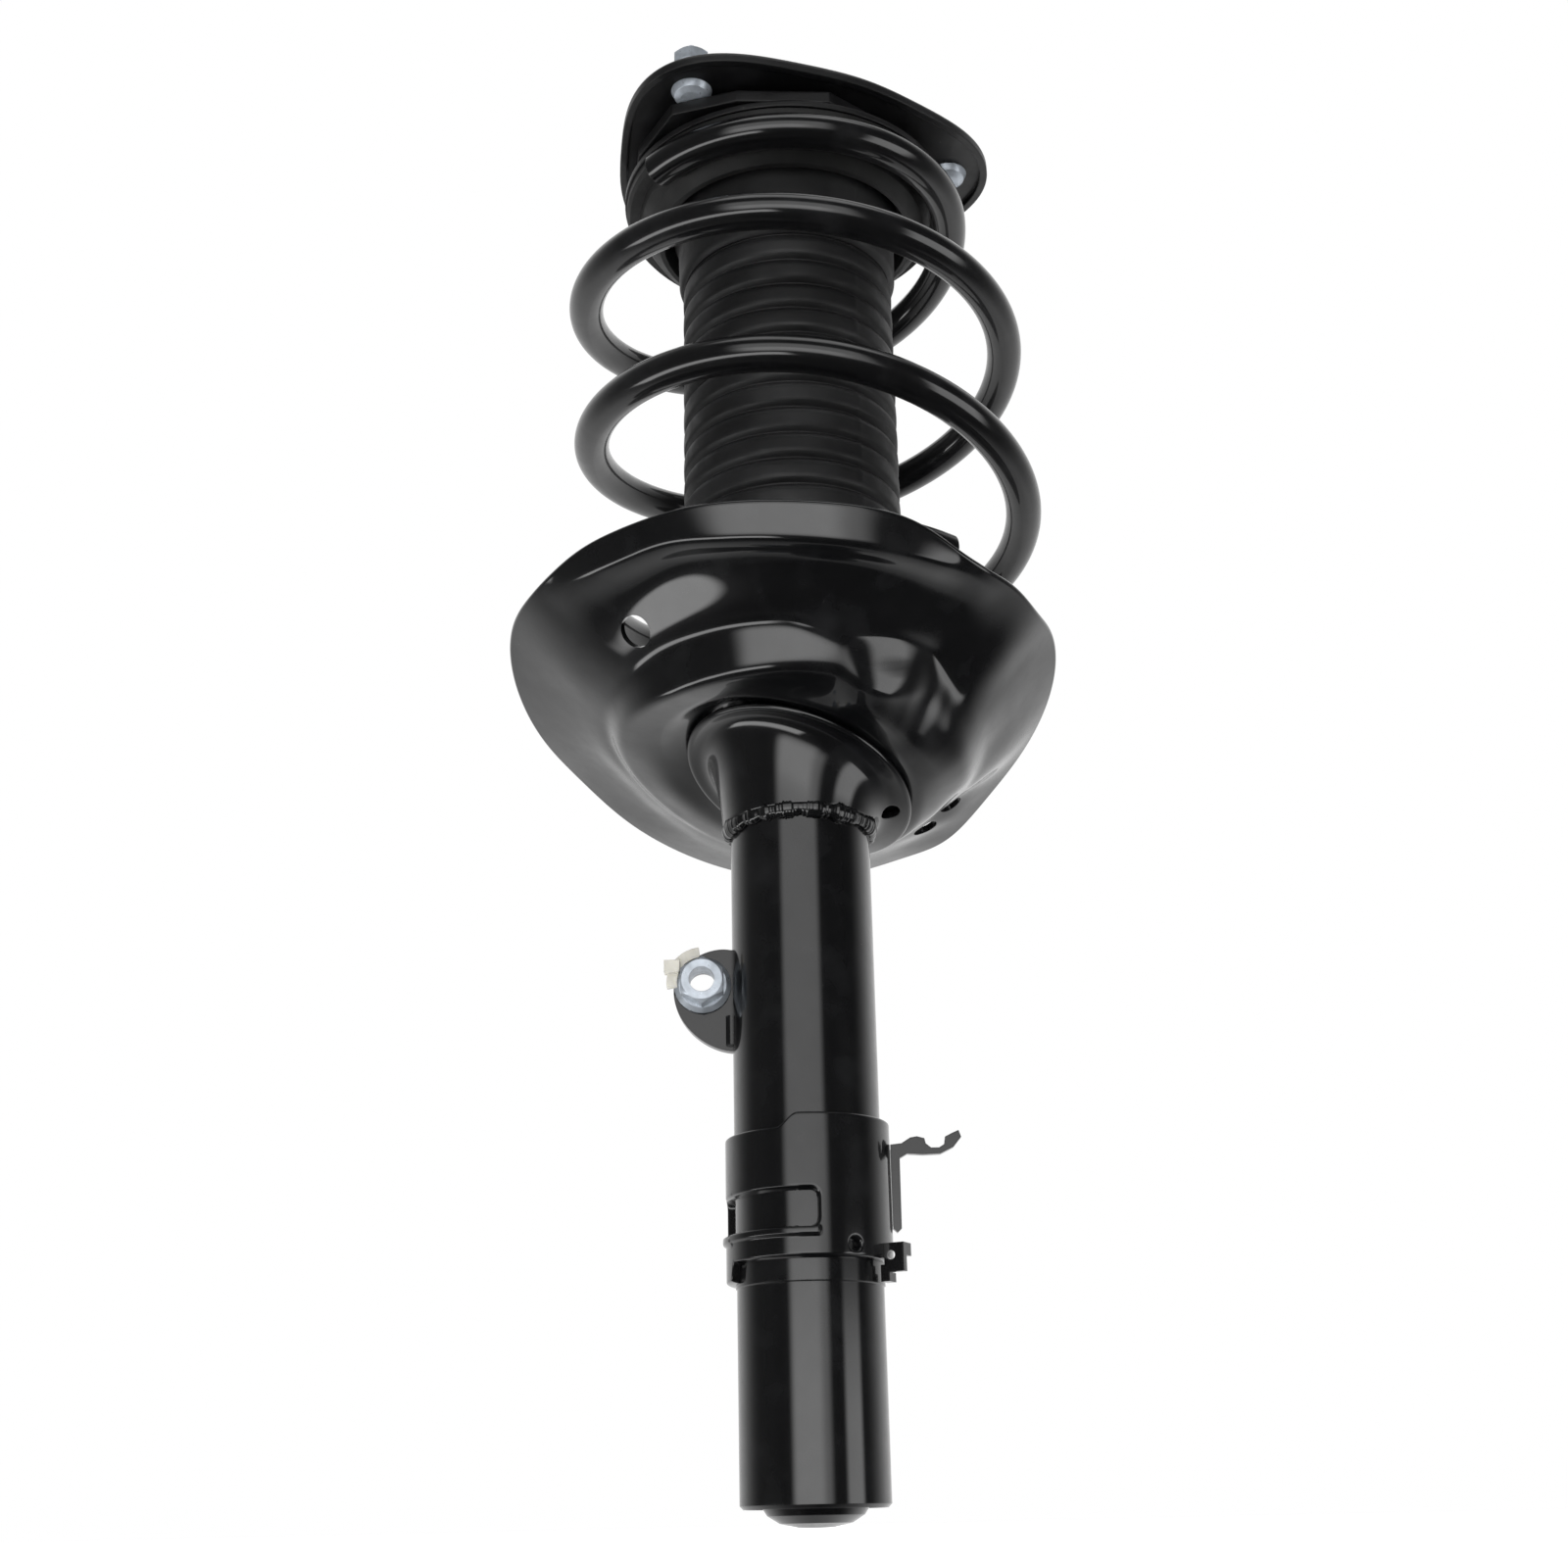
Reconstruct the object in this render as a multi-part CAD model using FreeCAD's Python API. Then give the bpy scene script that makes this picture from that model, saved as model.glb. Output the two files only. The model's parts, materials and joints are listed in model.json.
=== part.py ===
import FreeCAD, Part
import math
import os

# MacPherson strut assembly, in millimetres, +Z up towards the top mount.
# Origin: on the tube's axis, at the centre of the band that the knuckle clamps.
# Towards -Y is the front, where the spring pan is highest; +X is the hose side.

V = FreeCAD.Vector
UP = V(0, 0, 1)
GAP = 0.25                      # between cross-body faces and loose stacked pieces

# Strut tube and damper
SPIGOT_R = 25.0
TUBE_R = 25.4                   # the painted tube above the clamp band
TUBE_WALL = 2.5
RIM_Z = -40.0
SPIGOT_TOP = 30.0
TUBE_TOP = 300.0
BORE_R = 15.0                   # pressure tube bore
PRESSURE_WALL = 2.0
ROD_R = 10.0
TRAVEL = 120.0                  # bump travel from full rebound
GUIDE_Z = 284.0

# Sleeve, hose hook and link ear
SLEEVE_R = 28.5
SLEEVE_LOW = 37.4
SLEEVE_TOP = 85.7
SLEEVE_STEP = 4.6
WINDOW_LOW = 48.0
WINDOW_HIGH = 59.5
EAR_Z = 131.0
EAR_HALF = 18.5
EAR_REACH = 45.8
EAR_T = 4.0
NUT_X = -36.0
NUT_Z = 136.5
NUT_BORE_R = 4.5

# Spring pan
WELD_Z = 194.0
NECK_R = 45.0
NECK_Z = 214.5
NECK_TILT = 17.0                # the neck leans: highest towards NECK_HIGH degrees
NECK_HIGH = 225.0
BELL_R = 28.2                   # the support where it meets the weld
FLANGE_R = 40.0                 # outer edge of the support's flange, under the neck
PAN_T = 2.6
PAN_HOLE_R = 30.0
# Heights of the pan's underside for each angle: floor, floor's edge, foot and top of the helical
# step's wall, the slope outside it, and the coil's seat
STEP_R = 64.5
SEAT_RING = 83.0
PAN_HEIGHTS = {
    0: (206.0, 211.0, 213.5, 218.5, 226.0, 240.0), 15: (204.0, 211.5, 213.0, 215.5, 219.0, 230.5),
    30: (203.5, 210.2, 212.0, 214.8, 219.0, 226.0), 38: (203.5, 209.2, 210.8, 213.5, 217.5, 221.3),
    45: (203.0, 207.8, 208.9, 210.5, 212.0, 216.0), 60: (202.5, 205.3, 205.8, 206.7, 207.7, 210.5),
    75: (202.0, 204.0, 204.3, 204.9, 205.5, 207.0), 90: (203.0, 203.9, 204.1, 204.5, 205.0, 206.0),
    105: (205.5, 206.3, 206.6, 207.1, 207.6, 209.0), 120: (209.2, 210.3, 210.7, 211.4, 212.3, 215.0),
    135: (213.5, 215.5, 216.2, 218.0, 220.0, 224.5), 150: (217.8, 221.5, 222.5, 225.2, 228.0, 233.5),
    165: (222.5, 226.5, 227.6, 231.8, 234.4, 240.0), 180: (226.0, 229.0, 230.4, 236.2, 239.8, 246.2),
    195: (228.3, 230.0, 231.3, 238.6, 242.6, 249.8), 210: (229.5, 230.0, 231.5, 241.5, 245.8, 255.5),
    225: (230.0, 230.0, 231.5, 244.7, 249.8, 264.0), 240: (230.0, 230.5, 232.0, 246.7, 251.5, 268.0),
    255: (229.8, 231.0, 232.5, 247.6, 252.0, 266.4), 268: (229.2, 231.2, 232.8, 247.2, 251.2, 264.6),
    277: (228.0, 230.6, 232.2, 243.8, 248.6, 263.4), 284: (226.0, 229.2, 230.6, 240.6, 246.8, 262.5),
    290: (222.5, 225.5, 226.8, 241.0, 247.2, 261.8), 300: (219.0, 223.8, 226.0, 242.8, 247.8, 260.6),
    310: (217.0, 226.0, 229.2, 243.8, 247.5, 259.0), 318: (215.5, 228.5, 232.8, 242.6, 245.8, 255.5),
    326: (213.0, 224.5, 229.0, 236.2, 240.6, 252.0), 335: (210.5, 218.5, 222.0, 228.0, 234.5, 247.0),
    345: (208.0, 213.5, 216.5, 222.5, 230.5, 245.7),
}
PAN_HOLES = [(76.0, 221.5, 6.0), (63.2, 57.4, 5.0), (74.4, 47.2, 5.0), (74.8, 37.2, 4.6)]   # ring, angle, radius
FLANGE_HOLE = (33.4, -4.0, 3.6)

# Coil spring
WIRE_R = 6.75
COIL_R = 83.0
COIL_TOP_R = 67.0
COIL_END_R = 79.0               # the last part draws in to clear the pan's wall
# (angle turned from +X in degrees, wire centre height) at the quarter turns down the coil
COIL_STATIONS = [(-138, 452.7), (-90, 452.7), (0, 451.9), (90, 436.0), (180, 415.5), (270, 404.4),
                 (360, 390.0), (450, 370.0), (540, 353.7), (630, 344.0), (720, 318.2), (810, 300.0),
                 (900, 289.0), (945, 284.0), (990, 277.5), (1025, 273.5)]

# Boot
BOOT_R = 42.0
BOOT_WALL = 1.8
BOOT_GROOVE = 1.8
BOOT_PITCH = 10.85
BOOT_LOW = 262.0
BOOT_FOLDS = 15

# Upper seat, bearing and top mount
SEAT_R = 66.0
SEAT_Z = 465.3
SEAT_T = 2.5
BALL_R = 2.5
BALL_RING_R = 38.0
BALL_COUNT = 24
PLATE_TOP = 483.0
PLATE_T = 3.0
PLATE_LIP = 5.0
PLATE_MEAN_R = 74.5
PLATE_LOBE = 8.0
STUD_RING_R = 67.5
STUD_R = 4.0
STUD_ANGLES = (-122.0, -2.0, 118.0)
STUD_TIP = 501.6
HEAD_R = 8.0
PIN_RING_R = 61.0
PIN_ANGLE = 182.0
SHELL_Z = 470.0
ROD_TIP = 503.0


def polar(r, deg, z=0.0):
    a = math.radians(deg)
    return V(r * math.cos(a), r * math.sin(a), z)


def smooth(x, low, high):
    """0 below low, 1 above high, with an even ease between."""
    t = min(1.0, max(0.0, (x - low) / (high - low)))
    return t * t * (3.0 - 2.0 * t)


def tube(r_out, r_in, z0, z1):
    outer = Part.makeCylinder(r_out, z1 - z0, V(0, 0, z0))
    inner = Part.makeCylinder(r_in, z1 - z0 + 2, V(0, 0, z0 - 1))
    return outer.cut(inner)


def disc(r, z0, z1):
    return Part.makeCylinder(r, z1 - z0, V(0, 0, z0))


def revolve(profile):
    """A solid of revolution about Z from (r, z) corners."""
    points = [V(r, 0, z) for r, z in profile]
    face = Part.Face(Part.makePolygon(points + points[:1]))
    return face.revolve(V(0, 0, 0), UP, 360)


def hexagon(flats, z0, z1, x=0.0, y=0.0):
    corner = flats / math.sqrt(3.0)
    points = [V(x, y, z0) + polar(corner, 60 * i + 30) for i in range(7)]
    return Part.Face(Part.makePolygon(points)).extrude(V(0, 0, z1 - z0))


def sector(r_out, r_in, z0, z1, start, sweep):
    """A ring's slice from one angle on, in degrees."""
    half = [V(r_in, 0, z0), V(r_out, 0, z0), V(r_out, 0, z1), V(r_in, 0, z1), V(r_in, 0, z0)]
    face = Part.Face(Part.makePolygon(half))
    face.rotate(V(0, 0, 0), UP, start)
    return face.revolve(V(0, 0, 0), UP, sweep)


def spline(points, closed=False):
    curve = Part.BSplineCurve()
    curve.interpolate(points, PeriodicFlag=closed)
    return curve


def finer_outside(f):
    return 1.0 - (1.0 - f) ** 1.35


def finer_inside(f):
    return f ** 1.8


def sheet(height, inner, outer, thick, spread, rings, spokes=72):
    """A pressed sheet of even thickness: height(r, deg) is its underside, between two outlines."""
    def point(r, deg):
        return polar(r, deg, height(r, deg))

    under, over = [], []
    for i in range(spokes + 1):
        deg = 90.0 + 360.0 * i / spokes
        low, high = inner(deg), outer(deg)
        below, above = [], []
        for j in range(rings + 1):
            r = low + (high - low) * spread(j / rings)
            here = point(r, deg)
            along = point(r + 0.05, deg) - here if j == 0 else here - point(r - 0.05, deg)
            across = point(r, deg + 0.05) - here
            below.append(here)
            above.append(here + along.cross(across).normalize() * thick)
        under.append(below)
        over.append(above)
    skins = []
    for rows in (under, over):
        surface = Part.BSplineSurface()
        surface.interpolate(rows)
        skins.append(surface)
    faces = [skin.toShape() for skin in skins]
    for v in (0.0, 1.0):
        low, high = [skin.vIso(v).toShape() for skin in skins]
        faces.append(Part.makeRuledSurface(low, high))
    shell = Part.Compound(faces)
    shell.sewShape(0.001)
    return Part.makeSolid(shell.Shells[0])


# ---------------------------------------------------------------- strut tube

def outer_tube():
    body = revolve([(SPIGOT_R - TUBE_WALL, RIM_Z + 1.5), (SPIGOT_R - TUBE_WALL + 0.7, RIM_Z),
                    (SPIGOT_R - 1.2, RIM_Z), (SPIGOT_R, RIM_Z + 1.2), (SPIGOT_R, SPIGOT_TOP),
                    (TUBE_R, SPIGOT_TOP + 0.4), (TUBE_R, TUBE_TOP - 1), (TUBE_R - 1, TUBE_TOP),
                    (SPIGOT_R - TUBE_WALL, TUBE_TOP)])
    return body


def end_cap():
    r = SPIGOT_R - TUBE_WALL
    return revolve([(0, -46), (6, -45.7), (12, -44.4), (16, -42.0), (17.5, -39.8), (r, -39.0), (r, -36.0),
                    (15.5, -36.8), (12, -40.6), (6, -42.5), (0, -43)])


def pressure_tube():
    return tube(BORE_R + PRESSURE_WALL, BORE_R, -24, GUIDE_Z)


def base_valve():
    body = revolve([(4, -35.5), (20, -35.5), (20, -31), (17, -24), (BORE_R - 0.2, -24), (BORE_R - 0.2, -16),
                    (4, -16)])
    for i in range(4):
        body = body.cut(Part.makeCylinder(1.6, 30, polar(9, 90 * i, -40)))
    return body


def base_valve_rivet():
    return revolve([(0, -38), (6, -38), (6, -35.6), (3.95, -35.6), (3.95, -15.9), (6, -15.9), (6, -13), (0, -13)])


def rod_guide():
    return revolve([(ROD_R + 0.05, GUIDE_Z), (BORE_R - 0.5, GUIDE_Z - 6), (BORE_R - 0.05, GUIDE_Z - 6),
                    (BORE_R - 0.05, GUIDE_Z), (SPIGOT_R - TUBE_WALL - 0.05, GUIDE_Z + 2),
                    (SPIGOT_R - TUBE_WALL - 0.05, GUIDE_Z + 8), (ROD_R + 0.05, GUIDE_Z + 8)])


def rod_seal():
    r = SPIGOT_R - TUBE_WALL - 0.05
    return revolve([(ROD_R + 0.03, GUIDE_Z + 8.1), (r, GUIDE_Z + 8.1), (r, GUIDE_Z + 13), (ROD_R + 3, GUIDE_Z + 13),
                    (ROD_R + 1.5, GUIDE_Z + 14.5), (ROD_R + 0.03, GUIDE_Z + 14.5)])


def closure_cap():
    """The cap pressed over the tube's end, which the bump stop lands on."""
    z = TUBE_TOP
    return revolve([(ROD_R + 0.6, z + 0.2), (TUBE_R + 0.05, z + 0.2), (TUBE_R + 0.05, z - 18),
                    (TUBE_R + 1.7, z - 18), (TUBE_R + 1.7, z + 0.8), (TUBE_R + 0.2, z + 2.2),
                    (ROD_R + 4, z + 2.2), (ROD_R + 4, z + 4.5), (ROD_R + 0.6, z + 4.5)])


def hose_sleeve():
    ring = tube(SLEEVE_R, TUBE_R + 0.02, SLEEVE_LOW, SLEEVE_TOP)
    step = sector(SLEEVE_R + 2, TUBE_R - 1, SLEEVE_TOP - SLEEVE_STEP, SLEEVE_TOP + 2, 110, 144)
    window = sector(SLEEVE_R + 2, TUBE_R - 1, WINDOW_LOW, WINDOW_HIGH, 172, 98)
    lug = sector(SLEEVE_R, TUBE_R + 0.02, SLEEVE_LOW - 6, SLEEVE_LOW + 1, 140, 62)
    ledge = sector(SLEEVE_R + 1.2, SLEEVE_R - 1, WINDOW_LOW - 3.2, WINDOW_LOW, 168, 96)
    pin_hole = Part.makeCylinder(1.8, 12, polar(22, -58, SLEEVE_LOW + 4.5), polar(1, -58))
    return ring.cut(step).fuse([lug, ledge]).cut(window).cut(pin_hole).removeSplitter()


def hose_hook():
    """A plate ear with an open notch on its top edge for the sensor cable."""
    outline = [(28.7, 49.5), (30.2, 48.2), (31.6, 49.5), (31.8, 73.5), (34.5, 75.0), (40, 74.6), (46, 74.8),
               (50.6, 77.0), (53.4, 80.4), (52.6, 82.8), (50.2, 81.8), (47.8, 80.6), (47.4, 78.0),
               (45.6, 76.9), (42.8, 76.9), (41.0, 78.4), (40.6, 80.2), (38.0, 80.9), (35.6, 80.5),
               (32.6, 78.6), (28.7, 78.2)]
    points = [V(x, -1.4, z) for x, z in outline]
    plate = Part.Face(Part.makePolygon(points + points[:1])).extrude(V(0, 2.8, 0))
    foot = Part.makeBox(3.0, 11.0, 26.0, V(SLEEVE_R + 0.1, -1.4, 50.5))
    return plate.fuse(foot).removeSplitter()


def clip_tab():
    """The folded tab that closes the sleeve's seam."""
    plate = Part.makeBox(8.6, 2.4, 9.5, V(SLEEVE_R - 1.4, -1.2, 33.5))
    fold = Part.makeBox(2.4, 6.0, 4.2, V(SLEEVE_R + 4.8, -1.2, 38.8))
    lower = Part.makeBox(3.2, 5.0, 3.0, V(SLEEVE_R - 1.4, -1.2, 30.5))
    tab = plate.fuse([fold, lower]).cut(Part.makeCylinder(1.5, 8, V(SLEEVE_R + 2.5, -4, 39), V(0, 1, 0)))
    tab.rotate(V(0, 0, 0), UP, -28)
    return tab.cut(disc(SLEEVE_R + 0.02, 36, 90)).cut(disc(TUBE_R + 0.02, 20, 90)).removeSplitter()


def ear_outline(inset):
    """The link ear in the XZ plane: a half oval growing from the tube's side."""
    top, low = EAR_Z + EAR_HALF - inset, EAR_Z - EAR_HALF + inset
    reach = -EAR_REACH + inset
    arc = Part.BSplineCurve()
    arc.interpolate([V(-26, 0, top), V(-36.5, 0, top - 1.5), V(reach, 0, EAR_Z + 7.5),
                     V(reach + 0.6, 0, EAR_Z - 3), V(-36.5, 0, low + 4.2), V(-26, 0, low)])
    back = Part.makePolygon([V(-26, 0, low), V(-20, 0, low), V(-20, 0, top), V(-26, 0, top)])
    return Part.Wire([arc.toShape()] + back.Edges)


def link_bracket():
    plate = Part.Face(ear_outline(0)).extrude(V(0, EAR_T, 0))
    hole = Part.makeCylinder(5.2, 20, V(NUT_X, -10, NUT_Z), V(0, 1, 0))
    return plate.cut(hole).cut(disc(TUBE_R, 90, 180))


def link_weld():
    """Fillet welds down both faces where the ear meets the tube."""
    beads = []
    for y, side, length in ((0.0, -1, 10.5), (EAR_T, 1, 2 * EAR_HALF - 4)):
        x = -math.sqrt(TUBE_R ** 2 - y ** 2)
        bead = Part.makeCylinder(2.2, length, V(x - 0.3, y + side * 0.3, EAR_Z - EAR_HALF + 2))
        beads.append(bead.cut(link_bracket()).cut(disc(TUBE_R, 90, 180)).Solids[0])
    return Part.Compound(beads)


def link_nut():
    """M10 flange nut against the ear's front face; its axis lies along Y."""
    flange = revolve([(NUT_BORE_R, 0), (10.0, 0), (10.2, 0.9), (8.6, 3.0), (NUT_BORE_R, 3.0)])
    body = hexagon(15.0, 2.0, 10.0).common(
        revolve([(0, 0), (8.8, 0), (8.8, 8.9), (7.2, 10), (0, 10)]))
    nut = flange.fuse(body).cut(disc(NUT_BORE_R, -1, 12)).removeSplitter()
    nut.rotate(V(0, 0, 0), V(1, 0, 0), 90)
    nut.translate(V(NUT_X, -0.02, NUT_Z))
    return nut


def nut_retainer():
    """A nylon ring segment with a tail that keeps the nut from turning in transit."""
    ring = sector(12.6, 8.9, 4.0, 6.0, 95, 95)
    tail = Part.makeBox(5.5, 4.5, 4.5, V(-13.4, 3.2, 3.4))
    clip = ring.fuse(tail).cut(disc(8.9, 0, 12)).removeSplitter()
    clip.rotate(V(0, 0, 0), V(1, 0, 0), 90)
    clip.translate(V(NUT_X, 0, NUT_Z))
    return clip


# ---------------------------------------------------------------- spring pan

def dip(deg, centre, width):
    off = (deg - centre + 180.0) % 360.0 - 180.0
    return math.exp(-(off / width) ** 2)


def rim_radius(deg):
    a = math.radians(deg)
    round_part = 99.5 - 5.0 * math.cos(a) + 3.0 * math.sin(a) + 3.5 * math.cos(2 * a) - 2.0 * math.sin(2 * a)
    return round_part - 1.5 * dip(deg, -20, 15) + 1.5 * dip(deg, 288, 26)


def rim_height(deg):
    a = math.radians(deg)
    level = 252.25 - 5.0 * math.cos(a) - 36.5 * math.sin(a) + 8.75 * math.cos(2 * a)
    waves = 3.5 * dip(deg, -37, 14) + 2.5 * dip(deg, -129, 14) + 4.0 * dip(deg, 51, 11)
    waves += 8.5 * dip(deg, 311, 13) + 7.0 * dip(deg, 334, 13) + 6.5 * dip(deg, 206, 16)
    return level - waves + 2.0 * dip(deg, 144, 11) - 0.8 * dip(deg, 288, 26)


def neck_height(deg):
    return NECK_Z + NECK_TILT * math.cos(math.radians(deg - NECK_HIGH))


def ring_heights(deg):
    """The pan's table heights for any angle, by a cubic round the table's angles."""
    deg = deg % 360.0
    angles = sorted(PAN_HEIGHTS)
    i = max(k for k, angle in enumerate(angles) if angle <= deg)
    count = len(angles)
    at = [angles[(i + k) % count] + 360.0 * ((i + k) // count) for k in (-1, 0, 1, 2)]
    rows = [PAN_HEIGHTS[angles[(i + k) % count]] for k in (-1, 0, 1, 2)]
    h = at[2] - at[1]
    t = (deg - at[1]) / h
    a, b, c, d = 2 * t ** 3 - 3 * t * t + 1, t ** 3 - 2 * t * t + t, 3 * t * t - 2 * t ** 3, t ** 3 - t * t
    heights = []
    for p, q, u, v in zip(*rows):
        rise = (u - p) / (at[2] - at[0]) * h
        run = (v - q) / (at[3] - at[1]) * h
        heights.append(a * q + b * rise + c * u + d * run)
    return heights


def along_profile(knots, r):
    """A cubic through (r, z) knots that never overshoots them."""
    if r >= knots[-1][0]:
        return knots[-1][1]
    steps = [(b[1] - a[1]) / (b[0] - a[0]) for a, b in zip(knots, knots[1:])]

    def slope(k):
        if k == 0 or k == len(knots) - 1:
            return steps[max(0, k - 1)]
        before, after = steps[k - 1], steps[k]
        return 0.0 if before * after <= 0 else 2.0 * before * after / (before + after)

    i = max(k for k in range(len(knots) - 1) if knots[k][0] <= r)
    h = knots[i + 1][0] - knots[i][0]
    t = (r - knots[i][0]) / h
    a, b, c, d = 2 * t ** 3 - 3 * t * t + 1, t ** 3 - 2 * t * t + t, 3 * t * t - 2 * t ** 3, t ** 3 - t * t
    return a * knots[i][1] + b * h * slope(i) + c * knots[i + 1][1] + d * h * slope(i + 1)


def pan_height(r, deg):
    """Underside of the pan: its leaning neck, the helical step, the coil's seat and the rim."""
    if r <= NECK_R:
        return neck_height(deg) + 0.12 * (NECK_R - r)
    rim, top = rim_radius(deg), rim_height(deg)
    wall = STEP_R + 4.5 * dip(deg, 172, 48)
    rings = (52.0, wall - 4.0, wall - 1.5, wall + 1.5, wall + 6.0, SEAT_RING)
    knots = [(NECK_R, neck_height(deg))] + list(zip(rings, ring_heights(deg)))
    seat = knots[-1][1]
    front = smooth(deg % 360.0, 205, 235) * (1.0 - smooth(deg % 360.0, 303, 322))
    foot = rim - 3.4
    straight = seat + (top - seat) * (foot - SEAT_RING) / (rim - SEAT_RING)
    knots.append((foot, straight + (seat + 2.5 - straight) * front))
    knots.append((rim, top))
    return along_profile(knots, r)


def dome_height(r, deg):
    """Underside of the support: from the weld it rises like a trumpet's bell to its flange."""
    t = min(1.0, max(0.0, (r - BELL_R) / (FLANGE_R - BELL_R)))
    low = WELD_Z + 1.6
    top = neck_height(deg) - PAN_T - 0.3
    return low + (top - low) * (1.0 - (1.0 - t) ** 4)


def sheet_hole(height, r, deg, radius):
    """A cutter square to a sheet at one place."""
    here = polar(r, deg, height(r, deg))
    along = polar(r + 1.0, deg, height(r + 1.0, deg)) - here
    across = polar(r, deg + 1.0, height(r, deg + 1.0)) - here
    normal = along.cross(across).normalize()
    return Part.makeCylinder(radius, 16, here - normal * 8, normal)


def spring_pan():
    pan = sheet(pan_height, lambda deg: PAN_HOLE_R, rim_radius, PAN_T, finer_outside, 40, 120)
    for ring, deg, radius in PAN_HOLES:
        pan = pan.cut(sheet_hole(pan_height, ring, deg, radius))
    return pan


def pan_support():
    bell = sheet(dome_height, lambda deg: BELL_R, lambda deg: FLANGE_R, PAN_T, finer_inside, 18)
    return bell.cut(sheet_hole(dome_height, *FLANGE_HOLE))


def pan_weld():
    bead = revolve([(TUBE_R + 0.05, WELD_Z - 3.2), (TUBE_R + 2.2, WELD_Z - 2.2), (TUBE_R + 3.2, WELD_Z - 0.2),
                    (TUBE_R + 2.4, WELD_Z + 0.6), (TUBE_R + 0.05, WELD_Z + 0.6)])
    return bead


# ------------------------------------------------------------ spring and boot

def station_height(angle):
    """Height of the wire's centre by a cubic through the stations."""
    s = COIL_STATIONS
    i = max(k for k in range(len(s) - 1) if s[k][0] <= angle)

    def slope(k):
        lo, hi = max(0, k - 1), min(len(s) - 1, k + 1)
        return (s[hi][1] - s[lo][1]) / (s[hi][0] - s[lo][0])

    h = s[i + 1][0] - s[i][0]
    t = (angle - s[i][0]) / h
    a, b, c, d = 2 * t ** 3 - 3 * t * t + 1, t ** 3 - 2 * t * t + t, 3 * t * t - 2 * t ** 3, t ** 3 - t * t
    return a * s[i][1] + b * h * slope(i) + c * s[i + 1][1] + d * h * slope(i + 1)


def coil_point(angle, drop=0.0):
    r = COIL_TOP_R + (COIL_R - COIL_TOP_R) * smooth(angle, -10, 150)
    r += (COIL_END_R - COIL_R) * smooth(angle, 935, 1010)
    z = station_height(angle)
    lean = 0.048 * (COIL_STATIONS[0][1] - z)
    return polar(r, angle, z - drop) + V(lean, 0, 0)


def coil_wire(start, end, drop=0.0, step=9.0, lengths=1):
    """The wire's centre line, cut into equal lengths so that each stays a simple tube."""
    count = int(round((end - start) / step))
    points = [coil_point(start + (end - start) * i / count, drop) for i in range(count + 1)]
    curve = spline(points)
    low, high = curve.FirstParameter, curve.LastParameter
    cuts = [low + (high - low) * i / lengths for i in range(lengths + 1)]
    return Part.Wire([curve.toShape(a, b) for a, b in zip(cuts, cuts[1:])])


def coil_spring():
    path = coil_wire(COIL_STATIONS[0][0], COIL_STATIONS[-1][0], lengths=13)
    start, ahead = coil_point(-138), coil_point(-137)
    circle = Part.Wire([Part.Circle(start, ahead - start, WIRE_R).toShape()])
    pipe = Part.BRepOffsetAPI.MakePipeShell(path)
    pipe.setBiNormalMode(UP)
    pipe.add(circle)
    pipe.build()
    pipe.makeSolid()
    return pipe.shape()


def lower_isolator():
    """The rubber strip between the last part of the coil and the pan."""
    drop = WIRE_R + 1.4
    path = coil_wire(958, 1023, drop)
    here, ahead = coil_point(958, drop), coil_point(959, drop)
    along = (ahead - here).normalize()
    out = along.cross(UP).normalize()
    corners = [here + out * x + UP * z for x, z in ((-4, -1.1), (4, -1.1), (4, 1.1), (-4, 1.1), (-4, -1.1))]
    pipe = Part.BRepOffsetAPI.MakePipeShell(path)
    pipe.setBiNormalMode(UP)
    pipe.add(Part.makePolygon(corners))
    pipe.build()
    pipe.makeSolid()
    return pipe.shape()


def dust_boot():
    """Bellows: its foot grips the tube, its top collar seats under the upper seat."""
    inner, outer = [], []
    z = BOOT_LOW
    for i in range(BOOT_FOLDS):
        low = z + BOOT_PITCH * i
        outer += [(BOOT_R - BOOT_GROOVE, low), (BOOT_R, low + 2.2), (BOOT_R, low + BOOT_PITCH - 2.2)]
        inner += [(BOOT_R - BOOT_GROOVE - BOOT_WALL, low), (BOOT_R - BOOT_WALL, low + 2.2),
                  (BOOT_R - BOOT_WALL, low + BOOT_PITCH - 2.2)]
    top = z + BOOT_PITCH * BOOT_FOLDS
    outer += [(BOOT_R + 1.5, top + 1), (BOOT_R + 2.0, 444), (46.5, 452), (46.5, 457.6)]
    inner += [(BOOT_R - 0.5, top + 1), (BOOT_R, 444), (44.5, 452), (44.5, 457.6)]
    foot_out = [(29.6, 248.0), (29.6, 257.0), (33.0, 259.0)]
    foot_in = [(TUBE_R + 0.3, 248.0), (TUBE_R + 0.3, 258.5), (32.0, 261.0)]
    return revolve(foot_out + outer + list(reversed(foot_in + inner)))


def bump_stop():
    profile = [(ROD_R + 0.4, 392), (17, 392), (20, 398), (20.5, 406), (18, 411), (21.5, 416), (22, 427), (19, 432),
               (22.5, 437), (23, 447), (ROD_R + 0.4, 447)]
    return revolve(profile)


# ------------------------------------------------------- upper seat and bearing

def upper_isolator():
    return revolve([(50.2, 449.0), (52.2, 449.2), (56.5, 453.0), (59.0, 457.0), (60.0, 460.1), (64.0, 460.1),
                    (65.2, 461.6), (65.2, SEAT_Z - 0.2), (51.9, SEAT_Z - 0.2), (50.4, 463.1), (47.3, 457.8),
                    (47.3, 455.5)])


def upper_seat():
    z, t = SEAT_Z, SEAT_T
    return revolve([(28, 458.0), (46.8, 458.0), (50.0, 463.4), (51.5, z), (SEAT_R, z), (SEAT_R, z + t),
                    (50.0, z + t), (47.4, 464.6), (45.4, 458.0 + t), (30.5, 458.0 + t), (30.5, 466.0), (28, 466.0)])


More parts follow.
